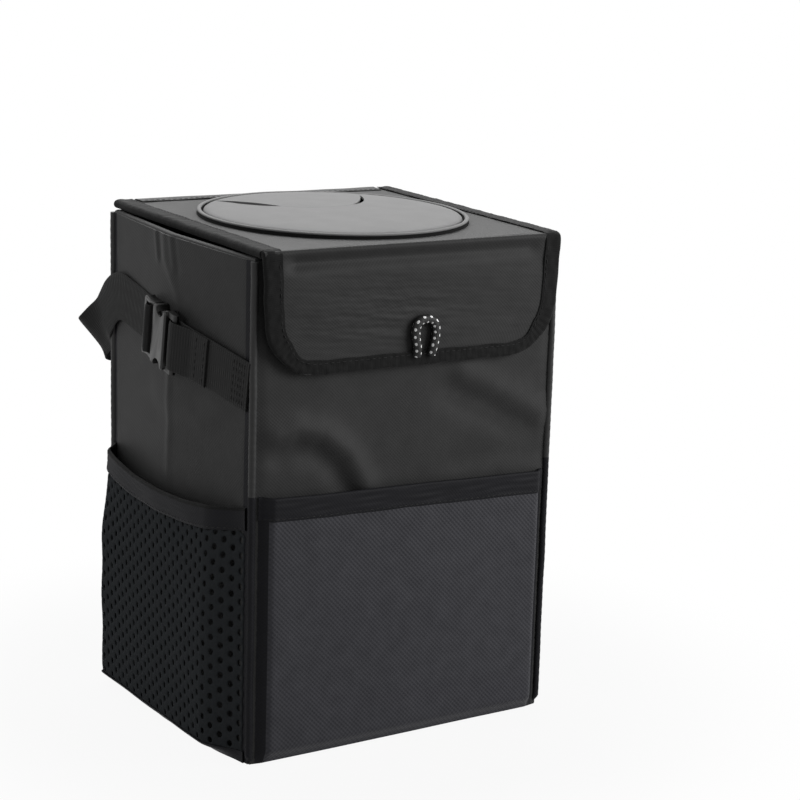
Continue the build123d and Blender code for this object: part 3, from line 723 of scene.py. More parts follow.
def plan_loop(u, inset):
    """A point on the plan of the walls, inset millimetres inside them, at a share u of the way round."""
    corners = [(a * (SIDE_OUT if b == 0 else HALF_WIDTH), b * HALF_DEPTH) for a, b in PLAN]
    marks = distances(corners)
    at = u * marks[-1]
    x, y = read_off(at, marks, corners)
    way_x, way_y = read_off(at, marks, PLAN)
    return x - inset * way_x, y - inset * way_y


def bottom_shape(u, v):
    """Bottom: from its turned-up edge in to the middle."""
    x, y = plan_loop(u, 0.2)
    inward = np.interp(v, [0, 0.06, 0.12, 1], [1.0, 0.995, 0.97, 0.0])
    lift = np.interp(v, [0, 0.06, 0.12, 1], [2.0, 0.4, 0.0, 0.0])
    x, y = x * inward, y * inward
    return x, y, lift + 0.12 * np.maximum(0, 1 + wander(x, y, (60, 60), 21)) * (v > 0.2)


def rim_cap_shape(u, v):
    """Rim: a half round over the top edge of the walls."""
    angle = math.pi * v
    x, y = plan_loop(u, WALL_THICK / 2 - 1.95 * np.cos(angle))
    return x, y, rim_z(y) - 1.3 + 1.5 * np.sin(angle) + 0.06 * pucker(u * 670, 0 * u, 4.0, 1, 22)


def liner_shape(u, v):
    """Liner: down inside the walls, round its foot and in to the middle of the floor."""
    inset = np.interp(v, [0, 0.72, 0.735, 0.75, 1], [0, 0, 2, 6, 80])
    drop = np.interp(v, [0, 0.72, 0.735, 0.75, 1], [0, 242, 247, 248.5, 248.5])
    x, y = plan_loop(u, WALL_THICK + 0.5)
    shrink = 1 - inset / 80
    around = u * 660
    wrinkle = 0.9 * np.abs(wander(around, drop, (60, 45), 23)) * ease(drop / 20) * ease((1 - v) * 6)
    keep = shrink * (1 - wrinkle / 85)
    z = BODY_HEIGHT - 2.5 - drop + (y / HALF_DEPTH - 1) * 2 * ease(1 - drop / 60)
    return x * keep, y * keep, np.maximum(z, FLOOR_TOP + 0.4 + wrinkle)


bottom = laid_out("bottom_cloth", bottom_shape, (160, 30), (0, 0, -1), THIN_CLOTH, closed=True)
finished(bottom, oxford, "body_cloth", "shell", "base_panel")
rim_cap = laid_out("rim_cap", rim_cap_shape, (320, 8), None, TAPE, closed=True)
finished(rim_cap, oxford, "edge_tape", "shell", "rim_tape")
liner_bag = laid_out("liner_bag", liner_shape, (140, 90), closed=True)
apply_modifier(liner_bag, "SOLIDIFY", thickness=FILM * MM, offset=0.0)
finished(liner_bag, film, "liner_film", "shell", "liner")

# %% [markdown]
# ## Corner piping
# A vinyl bead is sewn into each corner seam. It is a long round rod in principle, and in fact wavers a
# little between its stitches and turns in at the floor. The same tube shape serves all four corners.
# Below the pocket's rim, the turned edge of the pocket covers the two beads in front.

# %% Corner piping
PIPING, PIPING_END, PIPING_PITCH = 1.9, 1.2, 4.2
POCKET_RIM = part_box("front_pocket")[1].z / MM
BEADS = {"front_left": (-1, -1), "front_right": (1, -1), "rear_left": (-1, 1), "rear_right": (1, 1)}


def piping_shape(sign_x, sign_y, seed):
    """A bead up one corner, thicker between the stitches that hold it."""

    def shape(u, v):
        angle = 2 * math.pi * u
        top = rim_z(sign_y * HALF_DEPTH) - PIPING_END
        z = PIPING_END + v * (top - PIPING_END)
        turn = 1.8 * (1 - ease((z - PIPING_END) / 5))
        x = sign_x * (HALF_WIDTH - turn) + 0.12 * wander(z, 0 * z, (40, 1), seed)
        y = sign_y * (HALF_DEPTH - turn) + 0.12 * wander(z, 0 * z, (40, 1), seed + 1)
        radius = PIPING * (1 + 0.03 * np.sin(2 * math.pi * z / PIPING_PITCH))
        return x + radius * np.cos(angle), y + radius * np.sin(angle), z

    return shape


for name, (sign_x, sign_y) in BEADS.items():
    corner_bead = piping_shape(sign_x, sign_y, 31 + 2 * sign_x + sign_y)
    bead = laid_out(f"{name}_bead", corner_bead, (14, 220), closed=True, capped=True)
    finished(bead, vinyl, "corner_piping", "shell", f"{name}_piping")
    if sign_y < 0:
        second_finish(bead, hem_and_seam_shade, lambda middle: middle.z < POCKET_RIM)

# %% [markdown]
# ## Stitches
# Hems and bindings are held by lock stitches: short lengths of thread that lie on the cloth and dip
# into it. One stitch is a small ball, drawn out along the seam and flattened. It is copied along each
# seam, and the rows that move together become one piece.

# %% Rows of stitches
STITCH, STITCH_GAP, THREAD = 2.4, 0.9, 0.45


def sewn(name, rows, slot, body):
    """Rows of stitches as one piece. A row is points along a seam and the way out of the cloth."""
    bpy.ops.object.select_all(action="DESELECT")
    bpy.ops.mesh.primitive_uv_sphere_add(segments=6, ring_count=5, radius=0.5 * MM)
    ball = bpy.context.object
    knot = points_of(ball)
    sides = [tuple(face.vertices) for face in ball.data.polygons]
    bpy.data.objects.remove(ball)
    points, faces = [], []
    for line, outward in rows:
        line = np.asarray(line, float)
        outward = np.broadcast_to(np.asarray(outward, float), line.shape)
        marks = distances(line)
        count = int(marks[-1] / (STITCH + STITCH_GAP))
        for at in (np.arange(count) + 0.5) * marks[-1] / count:
            head, tail = (np.array(read_off(at + end * STITCH / 2, marks, line)) for end in (1, -1))
            way = unit(head - tail)
            out = np.array(read_off(at, marks, outward))
            out = unit(out - (out @ way) * way)
            frame_of_stitch = np.stack((way * STITCH, np.cross(out, way) * THREAD, out * THREAD))
            base = len(points) * len(knot)
            points.append((head + tail) / 2 + knot @ frame_of_stitch)
            faces += [tuple(base + corner for corner in side) for side in sides]
    return finished(from_points(name, np.concatenate(points), [], faces), thread, slot, body)


def traced(shape, u, v):
    """Points of a shape function along a line of u and v, one row each."""
    u, v = np.broadcast_arrays(np.asarray(u, float), np.asarray(v, float))
    return np.stack(np.broadcast_arrays(*shape(u, v)), axis=1)


# Shares of the way along a seam, from just inside one end to just inside the other
SEAM = np.linspace(0.008, 0.992, 160)

# %% [markdown]
# ## Front pocket
# The pocket is a pleated panel of ballistic cloth: it stands off the wall, with a soft ramp at each end
# and a rounded foot. Its hem is cloth turned over twice, so it is a folded strip that goes over the
# top edge.

# %% Front pocket and hem
POCKET_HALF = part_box("front_pocket")[1].x / MM
POCKET_OUT = -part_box("front_pocket")[0].y / MM - HALF_DEPTH
POCKET_HEIGHT, POCKET_SLANT = 134.0, math.tan(math.radians(1.8))
POCKET_RAMP, POCKET_END, POCKET_FOOT = 6.0, 4.5, 1.4
HEM, HEM_SEAM = 12.0, 0.06


def pocket_top(x):
    """Height of the pocket's top edge, which slants down to the right."""
    return POCKET_HEIGHT - x * POCKET_SLANT


def pocket_out(x, z):
    """How far the pocket stands off the front wall."""
    ends = ease((POCKET_HALF - np.abs(x)) / POCKET_RAMP)
    foot = 0.35 + 0.65 * ease((z - 1.5) / 7)
    slack = 0.25 * wander(x, z, (120, 90), 41) + 0.5 * np.exp(-(((x + 8) / 60) ** 2 + ((z - 62) / 45) ** 2))
    return 0.75 + (POCKET_OUT - 0.9) * ends * foot + slack * ends


def pocket_shape(u, v):
    """Front pocket, with small pulls below its top edge."""
    x = (2 * u - 1) * POCKET_HALF
    z = POCKET_FOOT + v * (pocket_top(x) - 0.8 - POCKET_FOOT)
    return x, -HALF_DEPTH - pocket_out(x, z) - 0.06 * pucker(x, pocket_top(x) - z, 5, 16, 42), z


def hem_section(v, back):
    """Across a hem, over its top and down behind: distance below the top edge and in front of the cloth."""
    below = np.interp(v, [0, 0.5, 0.56, 0.62, 0.68, 1], [HEM, 0.9, 0.2, 0.2, 0.9, back])
    front = np.interp(v, [0, 0.03, 0.5, 0.56, 0.62, 0.68, 1], [0.1, 0.6, 0.75, 0.35, -0.7, -1.15, -1.1])
    return below, front


def pocket_hem_shape(u, v):
    """Hem turned over the pocket's top edge, a little wavy in front."""
    x = (2 * u - 1) * (POCKET_HALF + 0.3)
    below, front = hem_section(v, 8.0)
    z = pocket_top(x) - below + 0.3 * wander(x, 0 * x, (60, 1), 43)
    waves = 0.2 * wander(x, 3 * below, (26, 9), 44) * ease(below / 3) * (v < 0.55)
    return x, -HALF_DEPTH - pocket_out(x, z) - front - waves, z


pocket = laid_out("pocket_panel", pocket_shape, (130, 100), (0, -1, 0), CLOTH)
finished(pocket, ballistic, "pocket_cloth", "shell", "front_pocket")
# Both ends of the pocket, a few millimetres wide, are given the darker hem cloth.
second_finish(pocket, hem_and_seam_shade, lambda middle: abs(middle.x) > POCKET_HALF - POCKET_END)
pocket_hem = laid_out("pocket_hem", pocket_hem_shape, (150, 26), (0, -1, 0), HEM_FOLD)
finished(pocket_hem, hem_and_seam_shade, "pocket_cloth", "shell", "front_pocket_hem")
sewn("pocket_stitches", [(traced(pocket_hem_shape, SEAM, HEM_SEAM), (0, -1, 0))], "pocket_cloth", "shell")

# %% [markdown]
# ## Side mesh pockets
# The side pockets are knitted mesh: a honeycomb of yarn with open holes. One hexagon is drawn and
# copied in staggered columns, every cell is inset and its middle removed, and the flat net is then bent
# round the pocket like the cloth before it. Its elastic hem is a strip that sags in the middle, and its
# top edge is painted dark as the shade of the pocket's mouth. A narrow strip closes the foot, and a tape
# lies behind the net where it meets the rear seam.

# %% Shape of the mesh and its net
MESH_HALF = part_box("left_mesh_pocket")[1].y / MM
MESH_FACE = -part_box("left_mesh_pocket")[0].x / MM
MESH_HEIGHT, MESH_SAG, MESH_FOOT = 131.0, 6.0, 6.0
REAR_RAMP, FRONT_RAMP = 9.0, 24.0
MESH_DRAWN, MESH_DRAWN_REACH = 0.5, 50.0
HOLE_RISE, HOLE_RUN, YARN, YARN_THICK = 8.8, 4.6, 2.55, 1.1
# The first of these is the depth, in millimetres, of the painted shade along the top of each mesh hem.
HEM_TOP_SHADE, REAR_LAP, BEHIND_NET = 1.7, 4.0, 1.9


def mesh_top(y):
    """Height of a mesh pocket's top edge, which sags in the middle."""
    return MESH_HEIGHT - MESH_SAG * (1 - (y / MESH_HALF) ** 2)


def mesh_out(y, z):
    """How far out the mesh stands at a depth y and height z."""
    ends = ease((MESH_HALF - np.abs(y)) / np.where(y < 0, FRONT_RAMP, REAR_RAMP))
    foot = 0.25 + 0.75 * ease((z - 0.5) / MESH_FOOT)
    drawn = MESH_DRAWN * ease(1 - (mesh_top(y) - z) / MESH_DRAWN_REACH) * (y / MESH_HALF) ** 2
    wall = side_x(y) + 1.1
    standing = ends * foot * (1 - drawn)
    return wall + (MESH_FACE - 0.3 - wall + 0.3 * wander(y, z, (70, 60), 51)) * standing


def honeycomb(name):
    """A flat net of hexagons, X up the pocket and Y along it, drawn with a metre for each millimetre."""
    radius = HOLE_RISE / math.sqrt(3)
    rows = int((MESH_HEIGHT - HEM) / HOLE_RISE) + 2
    columns = int(2 * MESH_HALF / (2 * HOLE_RUN)) + 1
    bpy.ops.object.select_all(action="DESELECT")
    bpy.ops.mesh.primitive_circle_add(vertices=6, radius=radius, fill_type="NGON")
    net = bpy.context.object
    net.name = net.data.name = name
    upward = (rows, (HOLE_RISE, 0, 0))
    staggered = (2, (HOLE_RISE / 2, 1.5 * radius, 0))
    onward = (columns, (0, 3 * radius, 0))
    for count, step in (upward, staggered, onward):
        constant = {"use_relative_offset": False, "use_constant_offset": True}
        merging = {"use_merge_vertices": True, "merge_threshold": 0.02}
        apply_modifier(net, "ARRAY", count=count, constant_offset_displace=step, **constant, **merging)
    with editing(net):
        bpy.ops.mesh.remove_doubles(threshold=0.05)
        bpy.ops.mesh.inset(thickness=YARN, use_individual=True)
        bpy.ops.mesh.delete(type="FACE")
    return net


# %% Side mesh pockets
def mesh_pocket(side, sign):
    """One side pocket: the net, its elastic hem, the strip at its foot and the tape behind its rear."""
    net = honeycomb(f"{side}_mesh_net")
    flat = points_of(net) * MM
    up = (flat[:, 0] - flat[:, 0].min()) / np.ptp(flat[:, 0])
    along = (flat[:, 1] - flat[:, 1].min()) / np.ptp(flat[:, 1])
    y = sign * (1 - 2 * along) * (MESH_HALF - 0.3)
    z = 1.0 + up * (mesh_top(y) - HEM + 3.0 - 1.0)
    move_points(net, np.stack((sign * mesh_out(y, z), y, z), axis=1))
    face_out(net, (sign, 0, 0))
    apply_modifier(net, "SOLIDIFY", thickness=YARN_THICK * MM, offset=-1.0)
    apply_modifier(net, "SUBSURF", levels=1, render_levels=1)
    finished(net, mesh_yarn, "side_mesh", "shell", f"{side}_mesh_pocket")

    def hem_shape(u, v):
        y = sign * (1 - 2 * u) * (MESH_HALF + 0.2)
        below, front = hem_section(v, 9.0)
        z = mesh_top(y) - below + 0.25 * wander(y, 0 * y, (40, 1), 52)
        waves = 0.15 * wander(y, 3 * below, (22, 9), 53) * (v < 0.55)
        return sign * (mesh_out(y, z) + front + waves), y, z

    hem = laid_out(f"{side}_mesh_elastic", hem_shape, (140, 24), (sign, 0, 0), HEM_FOLD)
    finished(hem, hem_and_seam_shade, "edge_tape", "shell", f"{side}_mesh_hem")
    # The top of the hem gets the black tape finish as painted shade, the shadow of the pocket's mouth.
    second_finish(hem, binding_tape_and_shade, lambda middle: mesh_top(middle.y) - middle.z < HEM_TOP_SHADE)

    def foot_shape(u, v):
        y = sign * (1 - 2 * u) * (MESH_HALF + 0.1)
        z = np.interp(v, [0, 0.55, 1], [6.5, 0.7, 0.7])
        under = np.interp(v, [0, 0.55, 1], [0, 0, 1])
        return sign * ((mesh_out(y, z) + 0.35) * (1 - under) + (side_x(y) - 0.4) * under), y, z

    foot = laid_out(f"{side}_mesh_foot", foot_shape, (100, 12), (sign, 0, 0), TAPE)
    finished(foot, hem_and_seam_shade, "edge_tape", "shell")

    def rear_shape(u, v):
        y = MESH_HALF + 0.1 - u * (REAR_RAMP + REAR_LAP)
        z = 0.8 + v * (mesh_top(y) - HEM / 2 - 0.8)
        return sign * np.maximum(mesh_out(y, z) - BEHIND_NET, side_x(y) + 0.3), y, z

    rear = laid_out(f"{side}_mesh_rear_tape", rear_shape, (14, 60), (sign, 0, 0), TAPE)
    finished(rear, hem_and_seam_shade, "edge_tape", "shell")
    sewn(f"{side}_mesh_stitches", [(traced(hem_shape, SEAM, HEM_SEAM), (sign, 0, 0))], "edge_tape", "shell")
    return net


# The net is cut 14 mm longer than the pocket's depth, for its ramps, and a share of it is yarn.
left_net = mesh_pocket("left", -1)
right_net = mesh_pocket("right", 1)

# %% [markdown]
# ## Lid
# The lid is a board in cloth, with a round hole under the disc. The cloth is a ring of cells between
# that circle and the lid's straight edges, which keeps the hole truly round. Tape is folded over each
# side edge and sewn through.

# %% Lid cloth and lining
LID_REAR, LID_FRONT = 78.2, -80.6
DISC_Y = (LID_REAR + LID_FRONT) / 2
HOLE, RING_CELLS = 61.2, (240, 24)
RING_HALF, RING_UNEVEN, UNDERSIDE = LID_HALF - 1.2, 0.1, 0.95
FOLD_BEND = 3.0
BEND_START = LID_FRONT - 1.6 + FOLD_BEND


def ring_shape(rear, front, height, seed):
    """A flat ring from the round hole to a rectangle, in the lid's plane."""
    ends = [(-RING_HALF, front), (RING_HALF, front), (RING_HALF, rear), (-RING_HALF, rear)]
    corners = ends + ends[:1]

    def shape(u, v):
        ex, ey = read_off(4 * u, range(5), corners)
        turns = np.unwrap([math.atan2(c[1] - DISC_Y, c[0]) for c in corners])
        angle = np.interp(4 * u, range(5), turns)
        x = HOLE * np.cos(angle) * (1 - v) + ex * v
        y = (DISC_Y + HOLE * np.sin(angle)) * (1 - v) + ey * v
        return on_lid(x, y, height + RING_UNEVEN * wander(x, y, (70, 70), seed))

    return shape


lid_top = ring_shape(LID_REAR - 0.3, BEND_START, LID_FACE, 61)
lid_cloth = laid_out("lid_cloth", lid_top, RING_CELLS, (0, 0, 1), LID_CLOTH, closed=True)
finished(lid_cloth, oxford, "body_cloth", "lid", "lid_panel")
lid_low = ring_shape(LID_REAR - 0.6, LID_FRONT + 0.4, UNDERSIDE, 62)
lid_under = laid_out("lid_lining_cloth", lid_low, RING_CELLS, (0, 0, -1), LINING, closed=True)
finished(lid_under, lining_cloth, "body_cloth", "lid", "lid_lining")


# %% Side bindings of the lid
BINDING, BINDING_RISE, BINDING_SEAM = 10.0, 0.75, 0.055


def wrapped_edge(v, width, round_in, top, low):
    """Across a tape folded round an edge, top side first: distance in from the edge, and height."""
    arc = math.pi * (round_in + (top - low) / 2) / 2
    run = width - round_in
    s = v * (2 * run + arc)
    turn = np.clip((s - run) / arc, 0, 1) * math.pi
    middle, half = (top + low) / 2, (top - low) / 2
    inward = np.where(s < run, width - s, np.where(s > run + arc, s - arc - run + round_in, 0))
    on_arc = (s >= run) & (s <= run + arc)
    inward = np.where(on_arc, round_in - round_in * np.sin(turn), inward)
    return inward, middle + half * np.cos(turn)


def lid_binding_shape(sign):
    """Tape over the side edge of the lid on the side of sign, gathered a little by its seam."""

    def shape(u, v):
        y = LID_REAR - 0.2 + u * (BEND_START - LID_REAR + 0.2)
        inward, h = wrapped_edge(v, BINDING, 2.2, LID_FACE + BINDING_RISE, 0.5)
        h = h + (0.06 * pucker(y, 0 * y, 3.4, 1, 63) + 0.15 * wander(y, 20 * v, (14, 9), 65)) * (v < 0.4)
        x = sign * (LID_HALF - inward + 0.15 * wander(y, 0 * y, (30, 1), 64))
        return on_lid(x, y, h)

    return shape


for side, sign in (("left", -1), ("right", 1)):
    edge = laid_out(f"lid_{side}_tape", lid_binding_shape(sign), (130, 26), (sign, 0, 0), TAPE)
    finished(edge, binding_tape_and_shade, "edge_tape", "lid", f"lid_{side}_binding")
lid_seams = [(traced(lid_binding_shape(sign), SEAM, BINDING_SEAM), (0, 0, 1)) for sign in (-1, 1)]
sewn("lid_stitches", lid_seams, "edge_tape", "lid")

# %% [markdown]
# ## Hinge
# The tail of the lid's cloth is sewn to the back wall and is all the hinge there is. It is one strip
# that runs up the wall, round the lid's rear edge and on to the lid.

# %% Hinge strip
HINGE_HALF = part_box("hinge_tape")[1].x / MM
HINGE_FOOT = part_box("hinge_tape")[0].z / MM
HINGE_ON_LID, HINGE_OUT = 9.0, 1.3
HINGE_WALL_SEAM, HINGE_LID_SEAM = 0.07, 0.95


def rounded_route(points, radii, step=1.5):
    """A route through points with its corners rounded, as closely spaced points."""
    points = [np.array(p, float) for p in points]
    line = [points[0]]
    for before, corner, after, radius in zip(points, points[1:], points[2:], radii):
        toward, onward = unit(corner - before), unit(after - corner)
        turn = math.acos(np.clip(toward @ onward, -1, 1))
        cut = radius * math.tan(turn / 2)
        start, end = corner - toward * cut, corner + onward * cut
        for t in np.linspace(0, 1, max(4, int(turn * radius / step))):
            line.append((1 - t) ** 2 * start + 2 * t * (1 - t) * corner + t * t * end)
    line.append(points[-1])
    line = np.array(line)
    marks = distances(line)
    at = np.linspace(0, marks[-1], int(marks[-1] / step) + 2)
    return np.stack(read_off(at, marks, line), axis=1)


hinge_line = on_lid(0, LID_REAR, 0)
lid_back = on_lid(0, LID_REAR + HINGE_OUT, LID_FACE + BINDING_RISE)
lid_landing = on_lid(0, LID_REAR - HINGE_ON_LID, LID_FACE + BINDING_RISE)
HINGE_ROUTE = rounded_route(
    [
        (HALF_DEPTH + HINGE_OUT, HINGE_FOOT),
        (HALF_DEPTH + HINGE_OUT, hinge_line[2] - 5.0),
        (hinge_line[1] + 1.5, hinge_line[2] - 0.5),
        lid_back[1:],
        lid_landing[1:],
    ],
    [5.0, 2.5, 1.6],
    0.5,
)
hinge_marks = np.linspace(0, 1, len(HINGE_ROUTE))


def hinge_shape(u, v):
    """Hinge strip: across the bin, and up its route from the wall to the lid."""
    x = (1 - 2 * u) * HINGE_HALF
    y, z = read_off(v, hinge_marks, HINGE_ROUTE)
    ruck = 0.15 * wander(x, 30 * v, (30, 12), 66)
    return x, y + ruck * (z < lid_back[2] - 1), z + ruck * (z > lid_back[2] - 1)


hinge_strip = laid_out("hinge_strip", hinge_shape, (120, 60), (0, 1, 0), THIN_CLOTH)
finished(hinge_strip, oxford, "edge_tape", None, "hinge_tape")
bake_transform(hinge_strip)
sewn("hinge_wall_stitches", [(traced(hinge_shape, SEAM, HINGE_WALL_SEAM), (0, 1, 0))], "edge_tape", "shell")
sewn("hinge_lid_stitches", [(traced(hinge_shape, SEAM, HINGE_LID_SEAM), (0, 0, 1))], "edge_tape", "lid")

# %% [markdown]
# ## Flap
# The lid's cloth runs on over its front edge and hangs down as the flap. The flap is laid out flat, x
# across and s down the cloth, and one function bends it over the front edge: flat on the lid, round the
# bend, then straight down. The binding and the stitches use the same function, so they follow the bend
# too.

# %% Flap cloth and lining
FLAP_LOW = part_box("flap_panel")[0].z / MM
FLAP_THICK = 1.6
FLAP_TOP_HALF, FLAP_LOW_HALF, FLAP_CORNER = LID_HALF - 0.3, LID_HALF - 3.6, 27.0
BEND_TURN = math.pi / 2 - RIM_FALL
bend_foot = on_lid(0, BEND_START, LID_FACE)
BEND_Y = bend_foot[1] + FOLD_BEND * math.sin(RIM_FALL)
BEND_Z = bend_foot[2] - FOLD_BEND * math.cos(RIM_FALL)
BEND_LENGTH = FOLD_BEND * BEND_TURN
FLAP_LENGTH = BEND_LENGTH + BEND_Z - FLAP_LOW
FLAP_TAPE, FLAP_EDGE = 9.8, 1.0


def on_flap(x, s, h):
    """From the flat flap, s down the cloth from the bend's start and h out of it, to the bin's frame."""
    turn = np.clip(s / FOLD_BEND, 0, BEND_TURN) + RIM_FALL
    before, after = np.minimum(s, 0), np.maximum(s - BEND_LENGTH, 0)
    y = BEND_Y - (FOLD_BEND + h) * np.sin(turn) - before * math.cos(RIM_FALL)
    z = BEND_Z + (FOLD_BEND + h) * np.cos(turn) - after - before * math.sin(RIM_FALL)
    return x, y, z


def flap_half(s):
    """Half the flap's width at s, with its two lower corners rounded."""
    straight = FLAP_TOP_HALF + (FLAP_LOW_HALF - FLAP_TOP_HALF) * np.clip(s / FLAP_LENGTH, 0, 1)
    rise = np.clip((s - (FLAP_LENGTH - FLAP_CORNER)) / FLAP_CORNER, 0, 1)
    return straight - FLAP_CORNER * (1 - np.sqrt(1 - rise * rise))


def flap_relief(x, s):
    """The hollow just under the bend, and the fine cross wrinkles of the hanging cloth."""
    hang = ease((s - BEND_LENGTH - 4) / 8)
    between_tapes = ease((LID_HALF - FLAP_TAPE - 1 - np.abs(x)) / 9)
    leftward = 0.72 - 0.28 * x / LID_HALF
    hollow = -3.0 * np.exp(-(((s - BEND_LENGTH - 3.6) / 3.4) ** 2)) * leftward * between_tapes
    brow = 0.8 * np.exp(-(((s - 0.5 * BEND_LENGTH) / 2.0) ** 2)) * ease(s / 2)
    rumpled = np.exp(-(((x + 22) / 46) ** 2) - ((s - 36) / 17) ** 2)
    wrinkles = (0.04 + 0.15 * rumpled) * wander(x, s, (30, 4.4), 71)
    wrinkles += 0.12 * rumpled * wander(x, s, (13, 2.4), 72)
    return hang * (wrinkles + 0.3 * wander(x, s, (120, 60), 73)) + hollow + brow


def flap_cloth_shape(u, v):
    """Flap cloth: from the lid, round the bend and down."""
    s = -0.02 + v * (FLAP_LENGTH - 0.8)
    x = (2 * u - 1) * (flap_half(s) - FLAP_EDGE)
    return on_flap(x, s, flap_relief(x, s))


def flap_lining_shape(u, v):
    """Lining behind the flap, which starts below the bend."""
    top = BEND_LENGTH + 9.0
    s = top + v * (FLAP_LENGTH - 0.8 - top)
    x = (2 * u - 1) * (flap_half(s) - FLAP_EDGE)
    return on_flap(x, s, -FLAP_THICK + 0.1 * wander(x, s, (50, 30), 74))


flap_cloth = laid_out("flap_cloth", flap_cloth_shape, (160, 110), (0, -1, 0), LID_CLOTH)
finished(flap_cloth, oxford, "body_cloth", None, "flap_panel")
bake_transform(flap_cloth)
flap_under = laid_out("flap_lining_cloth", flap_lining_shape, (120, 60), (0, 1, 0), LINING)
finished(flap_under, lining_cloth, "body_cloth", "flap", "flap_lining")


# %% Flap binding
def flap_outline(count):
    """Points down one side of the flat flap, round its corners and up the other, with the way inwards."""
    turn = np.linspace(0, math.pi / 2, 40)[1:]
    straight = np.linspace(0, FLAP_LENGTH - FLAP_CORNER, 60)
    down = np.concatenate((straight, FLAP_LENGTH - FLAP_CORNER * (1 - np.sin(turn))))
    half = flap_half(down)
    line = np.column_stack((np.concatenate((-half, half[::-1])), np.concatenate((down, down[::-1]))))
    marks = distances(line)
    at = np.linspace(0, marks[-1], count)
    line = np.column_stack(read_off(at, marks, line))
    spread = np.ones(9) / 9
    ways = [np.convolve(np.pad(t, 4, mode="edge"), spread, "valid") for t in np.gradient(line, axis=0).T]
    way = unit(np.column_stack(ways))
    return at, line[:, 0], line[:, 1], way[:, 1], -way[:, 0]


EDGE_RUN, *EDGE = flap_outline(count=600)


def along_edge(run, inward, h):
    """A point of the flap's edge at a share of its length, so far in from it and out of the cloth."""
    x, s, in_x, in_s = (np.interp(run * EDGE_RUN[-1], EDGE_RUN, column) for column in EDGE)
    return on_flap(x + inward * in_x, s + inward * in_s, h)


def edge_drop(run):
    """How far down the cloth the flap's edge is at a share of its length."""
    return np.interp(run * EDGE_RUN[-1], EDGE_RUN, EDGE[1])


def flap_tape_width(run):
    """The tape is narrower along the lower edge than down the sides."""
    return FLAP_TAPE - 2.6 * ease((edge_drop(run) - FLAP_LENGTH + 12) / 10)


def flap_binding_shape(u, v):
    """Tape round the flap's edge, crimped by its seam, most of all at the corners."""
    at = u * EDGE_RUN[-1]
    low = -(FLAP_THICK + 0.5) - 1.6 * (1 - ease(edge_drop(u) / 9))
    inward, h = wrapped_edge(v, flap_tape_width(u), 1.7, BINDING_RISE, low)
    corner = np.exp(-(((edge_drop(u) - FLAP_LENGTH + 10) / 9) ** 2))
    crimp = (0.05 + 0.12 * corner) * pucker(at, 0 * at, 3.6, 1, 75) + 0.28 * wander(at, 20 * v, (11, 9), 76)
    inward = inward + 0.3 * wander(at, 0 * at, (24, 1), 77)
    return along_edge(u, inward, h + crimp * (v < 0.45) * ease(v * 14))


flap_edge = laid_out("flap_tape", flap_binding_shape, (300, 26), (0, -1, 0), TAPE)
finished(flap_edge, binding_tape_and_shade, "edge_tape", None, "flap_binding")
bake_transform(flap_edge)
hanging = np.linspace(0, 1, 400)
hanging = hanging[edge_drop(hanging) > BEND_LENGTH + 3]
flap_seam = np.stack(along_edge(hanging, flap_tape_width(hanging) - 1.5, 0.85), axis=1)
sewn("flap_stitches", [(flap_seam, (0, -1, 0))], "edge_tape", "flap")

# %% [markdown]
# ## Drop disc
# The disc is a shallow dome of grey rubber with a rolled rim, raised on a foot. It is a turned shape,
# so its section is drawn once and spun. A tongue is then cut in it, wide open along its two arms and
# nearly shut at its tip. A bead and a skirt go round it, and the narrow groove between them and the
# disc stays open. The skirt is black as painted shade under the bead, which overhangs it a little.

# %% Turned shapes and the slit
DISC_EDGE, BEAD = 70.0, 1.1
DISC_TOP = [(0.0, 4.7), (14, 4.66), (28, 4.5), (42, 4.2), (54, 3.75), (60.0, 3.35)]
DISC_RIM = [(63.6, 2.95), (65.6, 2.5), (66.4, 1.9), (66.7, 1.2)]
DISC_FOOT = [(66.7, 0.0), (61.4, 0.0), (61.3, 1.2)]
DISC_UNDER = [(58, 2.0), (50, 2.65), (42, 3.0), (28, 3.3), (14, 3.46), (0.0, 3.5)]


def spun(name, section, steps):
    """Spin a section, given as radius and height, into a closed turned shape round the origin."""
    edges = [(i, i + 1) for i in range(len(section) - 1)]
    piece = from_points(name, [(r, 0, h) for r, h in section], edges, [])
    with editing(piece):
        bpy.ops.mesh.spin(steps=steps, angle=2 * math.pi, center=(0, 0, 0), axis=(0, 0, 1))
        bpy.ops.mesh.select_all(action="SELECT")
        bpy.ops.mesh.remove_doubles(threshold=0.01 * MM)
        bpy.ops.mesh.normals_make_consistent(inside=False)
    return piece


def set_on_lid(piece):
    """Move a shape that was made round the origin to the middle of the disc, in the lid's plane."""
    x, y, h = points_of(piece).T
    move_points(piece, np.stack(on_lid(x, y + DISC_Y, h + LID_FACE), axis=1))


SLIT_HALF, SLIT_TIP, SLIT_CURVE, SLIT_POWER = 43.0, 2.2, 0.0037, 2.5
SLIT_SHUT, SLIT_STEPS = 0.09, 140
# Where the slit stands open: the middle of each stretch, its reach each way and half its width
SLIT_OPEN = [(-33.6, 9.6, 3.4), (26.4, 11.8, 1.1)]


